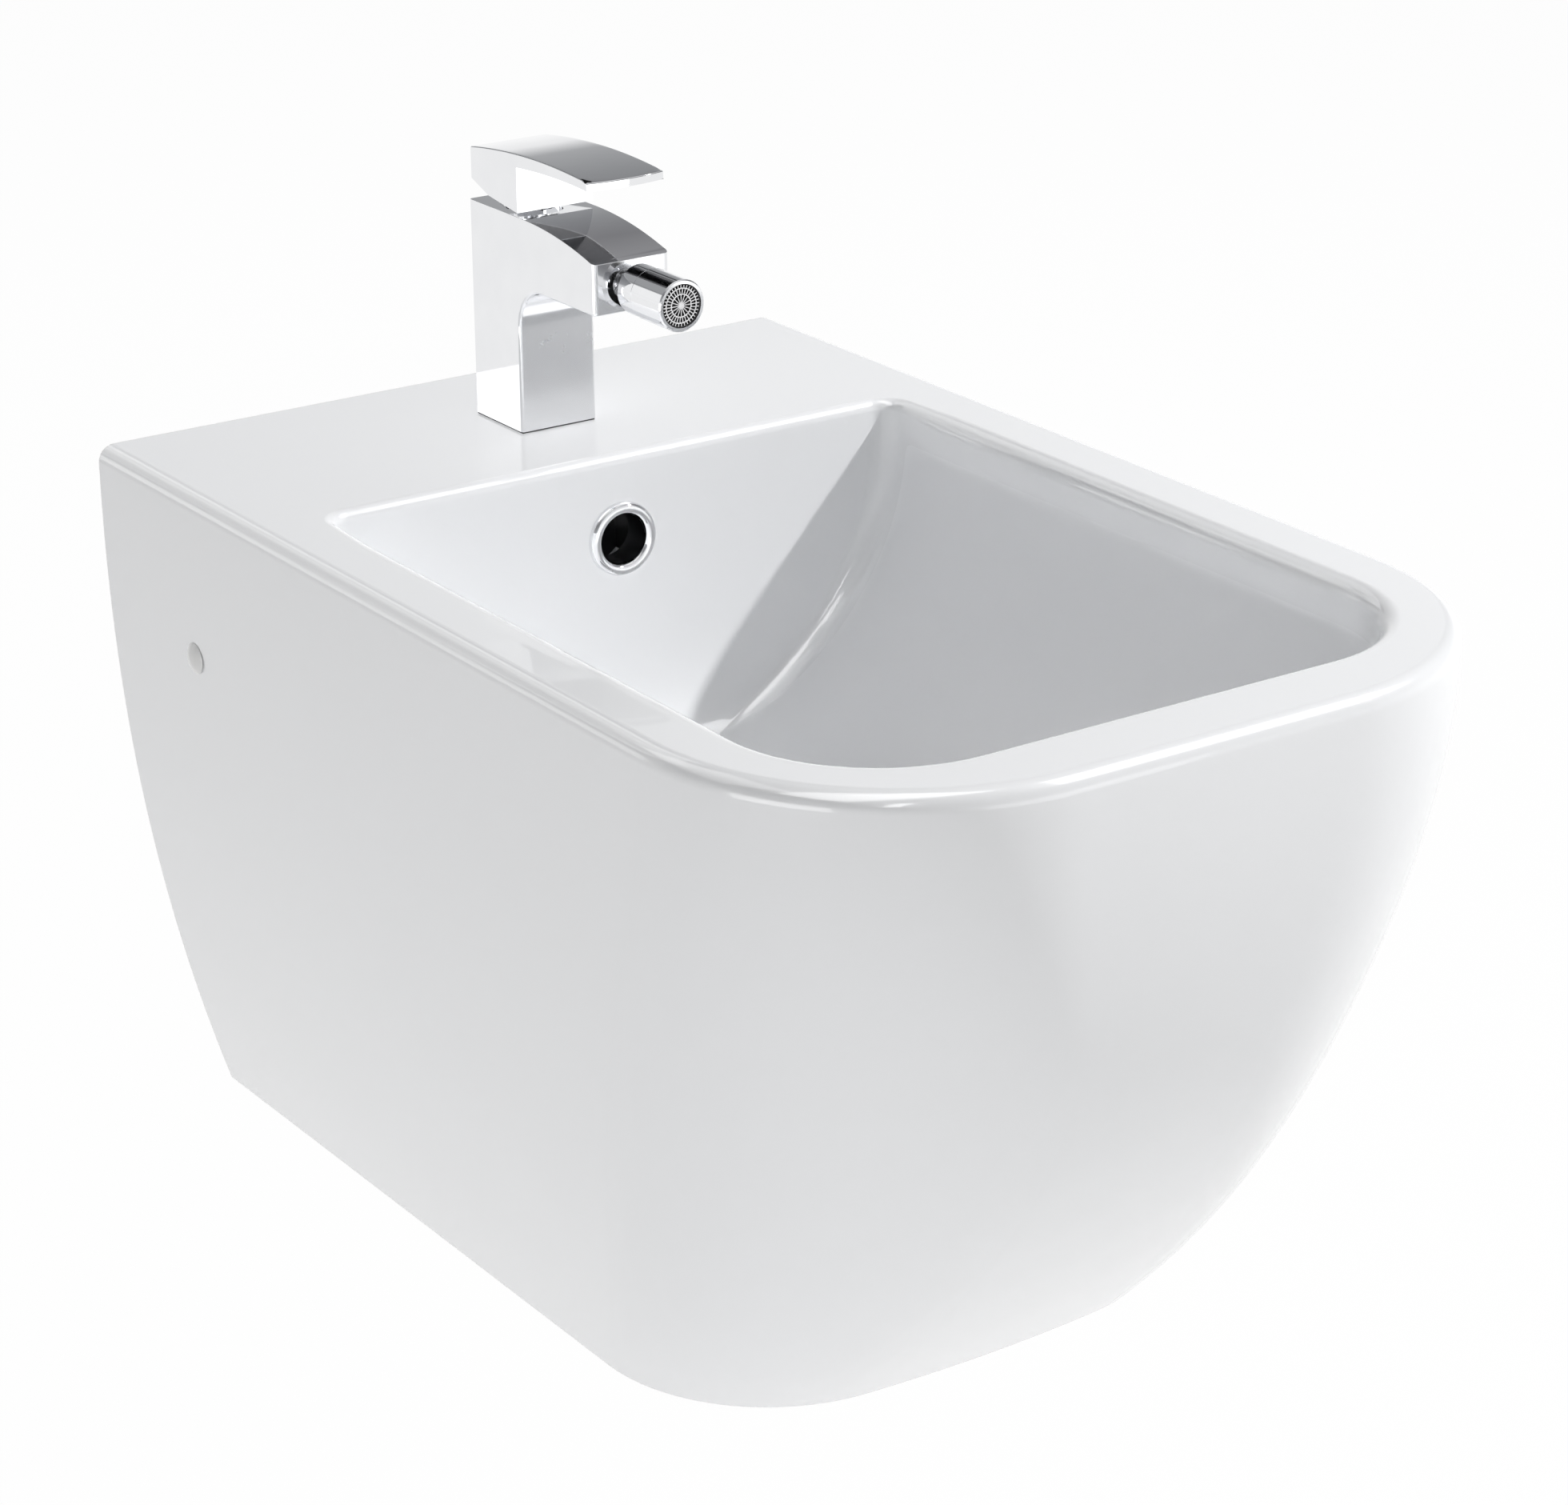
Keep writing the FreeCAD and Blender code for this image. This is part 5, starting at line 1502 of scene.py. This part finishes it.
@dataclass
class Softbox:
    """A rectangular lamp that points at the object."""

    name: str
    place: Point
    size: tuple[float, float]
    power: float
    reach: Reach = Reach.FULL
    turn: float = 0.0
    aim: Point = (0.0, -0.28, -0.02)

    def build(self) -> bpy.types.Object:
        """Hangs the lamp.

        Returns:
            The lamp.
        """
        data = bpy.data.lights.new(self.name, "AREA")
        data.shape = "RECTANGLE"
        data.size, data.size_y = self.size
        data.energy = self.power
        lamp = placed(self.name, data)
        lamp.location = self.place
        way = Vector(self.aim) - Vector(self.place)
        spun = Quaternion((0.0, 0.0, 1.0), math.radians(self.turn))
        lamp.rotation_euler = (way.to_track_quat("-Z", "Y") @ spun).to_euler()
        lamp.visible_glossy = self.reach is not Reach.MATT
        lamp.visible_diffuse = self.reach in (Reach.FULL, Reach.MATT)
        return lamp


@dataclass
class Studio:
    """Pale floor, soft lamps, sky and camera."""

    floor_height: float = -0.80
    floor_radius: float = 14.0
    floor_steps: int = 96
    floor_white: float = 0.97
    ambient: float = 0.30
    eye: Point = (-0.9526, -1.6577, 0.6442)
    azimuth: float = -34.35
    elevation: float = 21.56
    roll: float = -0.3862
    lens: float = 98.74
    shift: tuple[float, float] = (0.0040, -0.0038)
    lamps: tuple[Softbox, ...] = (
        Softbox("key_lamp", (1.98, -1.28, 2.00), (0.10, 0.10), 70.0),
        Softbox("left_lamp", (-2.6, -1.0, -0.2), (1.8, 1.0), 17.3),
        Softbox("front_lamp", (0.7, -3.0, -0.2), (2.0, 1.0), 8.0),
        Softbox("rear_lamp", (2.2, 2.4, 2.2), (1.2, 1.2), 38.0, Reach.MATT),
        Softbox("deck_window", (2.9, 4.6, 2.1), (4.0, 2.4), 11.0, Reach.GLINT),
        Softbox("rim_strip", (2.78, -1.98, 3.86), (2.70, 1.29), 65.0, Reach.GLINT, 39.0),
        Softbox("rim_arch", (-1.15, 4.42, 3.1), (4.3, 3.5), 73.0, Reach.GLINT),
        Softbox("rim_panel", (-3.2, 4.42, 0.65), (1.8, 1.4), 11.0, Reach.GLINT),
        Softbox("corner_panel", (-0.95, -0.9, 3.4), (1.6, 4.0), 90.0, Reach.GLINT, -19.0),
        Softbox("corner_sky", (-1.8, 1.3, 3.0), (3.0, 2.0), 36.0, Reach.GLINT),
        Softbox("nook_strip", (-2.30, -3.63, 2.75), (0.5, 1.8), 20.0, Reach.GLINT, -15.0),
        Softbox("ring_window", (0.6, -3.0, 0.2), (6.0, 5.0), 60.0, Reach.RING),
    )
    deck: float = 0.070
    ceiling: Stops = (
        (0.0, WHITE), (0.10, (0.90, 0.90, 0.905)), (0.19, (0.42, 0.425, 0.435)), (0.36, (0.30, 0.305, 0.315)),
        (0.52, (0.23, 0.23, 0.24)), (0.64, (0.30, 0.30, 0.31)), (0.74, (0.50, 0.50, 0.51)),
        (0.84, (0.75, 0.75, 0.76)), (1.0, (0.95, 0.95, 0.95)))
    cards: Stops = (
        (0.0, WHITE), (0.265, WHITE), (0.275, PALE_CARD), (0.445, PALE_CARD), (0.450, WHITE), (0.465, WHITE),
        (0.470, BLACK_CARD), (0.525, BLACK_CARD), (0.530, GREY_CARD), (0.690, GREY_CARD), (0.695, BLACK_CARD),
        (0.735, BLACK_CARD))
    card_sides: tuple[float, float] = (0.265, 0.735)
    card_height: float = 0.38
    card_depth: float = 0.60
    card_foot: float = 0.02
    card_fade: float = 0.01
    card_top_fade: float = 0.04
    card_blur: float = 0.05
    clip: tuple[float, float] = (0.05, 60.0)

    def build(self) -> None:
        """Sets up the whole studio."""
        bpy.context.scene.view_settings.view_transform = "Standard"
        self.make_floor()
        self.make_sky()
        shell, ring = (bpy.data.objects[name] for name in ("glazed_shell", "overflow_lip"))
        above = [item for item in bpy.data.objects
                 if item.type == "MESH" and min(point.co.z for point in item.data.vertices) > self.deck]
        no_shadow = self.gathered("no_shadow", [*above, ring], "EXCLUDE")
        groups = {
            Reach.GLINT: (self.gathered("on_glaze", [shell], "INCLUDE"), None),
            Reach.RING: (self.gathered("on_ring", [ring], "INCLUDE"), self.gathered("past_glaze", [shell], "EXCLUDE")),
        }
        for lamp in self.lamps:
            linking = lamp.build().light_linking
            linking.receiver_collection, linking.blocker_collection = groups.get(lamp.reach, (None, no_shadow))
        self.make_camera()

    @staticmethod
    def gathered(name: str, items: Iterable[bpy.types.Object], state: str) -> bpy.types.Collection:
        """Gathers pieces that a lamp acts on, or whose shadow it leaves out.

        Args:
            name: The group's name.
            items: The pieces.
            state: INCLUDE or EXCLUDE.

        Returns:
            The group.
        """
        group = bpy.data.collections.new(name)
        for item in items:
            group.objects.link(item)
        for entry in group.collection_objects:
            entry.light_linking.link_state = state
        return group

    @staticmethod
    def seen(graph: Graph) -> Signal:
        """1 for rays that look straight, through glass or by a mirror, otherwise 0.

        Args:
            graph: The graph to add to.

        Returns:
            The share as a signal.
        """
        rays = [graph.node("ShaderNodeLightPath", output=name)
                for name in ("Is Camera Ray", "Is Glossy Ray", "Is Transmission Ray")]
        return graph.math("MAXIMUM", graph.math("MAXIMUM", rays[0], rays[1]), rays[2])

    def make_floor(self) -> None:
        """Lays a round pale floor well below the object."""
        mesh = bpy.data.meshes.new("studio_floor")
        work = bmesh.new()
        bmesh.ops.create_circle(work, cap_ends=True, segments=self.floor_steps, radius=self.floor_radius)
        bmesh.ops.translate(work, verts=work.verts, vec=(0.0, 0.0, self.floor_height))
        work.to_mesh(mesh)
        work.free()
        floor = placed("studio_floor", mesh)
        material = bpy.data.materials.new("studio_white")
        material.use_nodes = True
        graph = Graph(material.node_tree)
        matt = graph.node("ShaderNodeBsdfDiffuse", inputs={"Color": (0.9, 0.9, 0.9, 1.0)})
        bright = graph.node("ShaderNodeEmission", inputs={"Color": (*WHITE, 1.0), "Strength": 1.0})
        share = self.seen(graph) * self.floor_white
        both = graph.node("ShaderNodeMixShader", inputs={0: share, 1: matt, 2: bright})
        graph.node("ShaderNodeOutputMaterial", inputs={"Surface": both})
        mesh.materials.append(material)

    def make_sky(self) -> None:
        """Even ambient light, with a studio's grey ceiling and upright cards in reflections."""
        world = bpy.data.worlds.new("studio_sky")
        bpy.context.scene.world = world
        world.use_nodes = True
        graph = Graph(world.node_tree)
        across, depth, height = graph.axes(graph.node("ShaderNodeTexCoord", output="Generated"))
        across = across * 0.5 + 0.5
        ceiling, cards = (
            graph.node("ShaderNodeValToRGB", {"stops": stops}, {0: value})
            for stops, value in ((self.ceiling, height), (self.cards, across)))
        first, last = self.card_sides
        high = graph.math(
            "MAXIMUM", height.above(self.card_height, self.card_top_fade), across.below(first, self.card_fade))
        rear = depth.above(self.card_depth, self.card_blur) * height.above(self.card_foot, self.card_blur)
        behind = rear * high * across.below(last, self.card_fade)
        studio = graph.mix(behind, ceiling, cards)
        mirror = graph.node("ShaderNodeLightPath", output="Is Glossy Ray")
        view = graph.mix(mirror, WHITE, studio)
        ambient = graph.node("ShaderNodeBackground", inputs={0: (*WHITE, 1.0), 1: self.ambient})
        backdrop = graph.node("ShaderNodeBackground", inputs={0: view, 1: 1.0})
        both = graph.node("ShaderNodeMixShader", inputs={0: self.seen(graph), 1: ambient, 2: backdrop})
        graph.node("ShaderNodeOutputWorld", inputs={"Surface": both})

    def make_camera(self) -> None:
        """Sets the camera at the photograph's place and angle."""
        data = bpy.data.cameras.new("camera")
        data.lens = self.lens
        data.sensor_fit = "HORIZONTAL"
        data.shift_x, data.shift_y = self.shift
        data.clip_start, data.clip_end = self.clip
        camera = placed("camera", data)
        turn, tilt, roll = (math.radians(value) for value in (self.azimuth, self.elevation, self.roll))
        back = Vector((math.sin(turn) * math.cos(tilt), -math.cos(turn) * math.cos(tilt), math.sin(tilt)))
        side = Vector((math.cos(turn), math.sin(turn), 0.0))
        rise = back.cross(side)
        right = side * math.cos(roll) + rise * math.sin(roll)
        up = rise * math.cos(roll) - side * math.sin(roll)
        basis = Matrix((right, up, back)).transposed().to_4x4()
        camera.matrix_world = Matrix.Translation(Vector(self.eye)) @ basis
        bpy.context.scene.camera = camera


def main() -> None:
    """Builds the sub-assemblies and the studio."""
    logging.basicConfig(level=logging.INFO, format="%(message)s")
    assemblies: Iterable[Assembly] = (
        CeramicShell(), WallFixing(), Overflow(), Waste(), TapBody(), Cartridge(), Lever(), Nozzle())
    for assembly in assemblies:
        assembly.build()
    Studio().build()


if __name__ == "__main__":
    main()
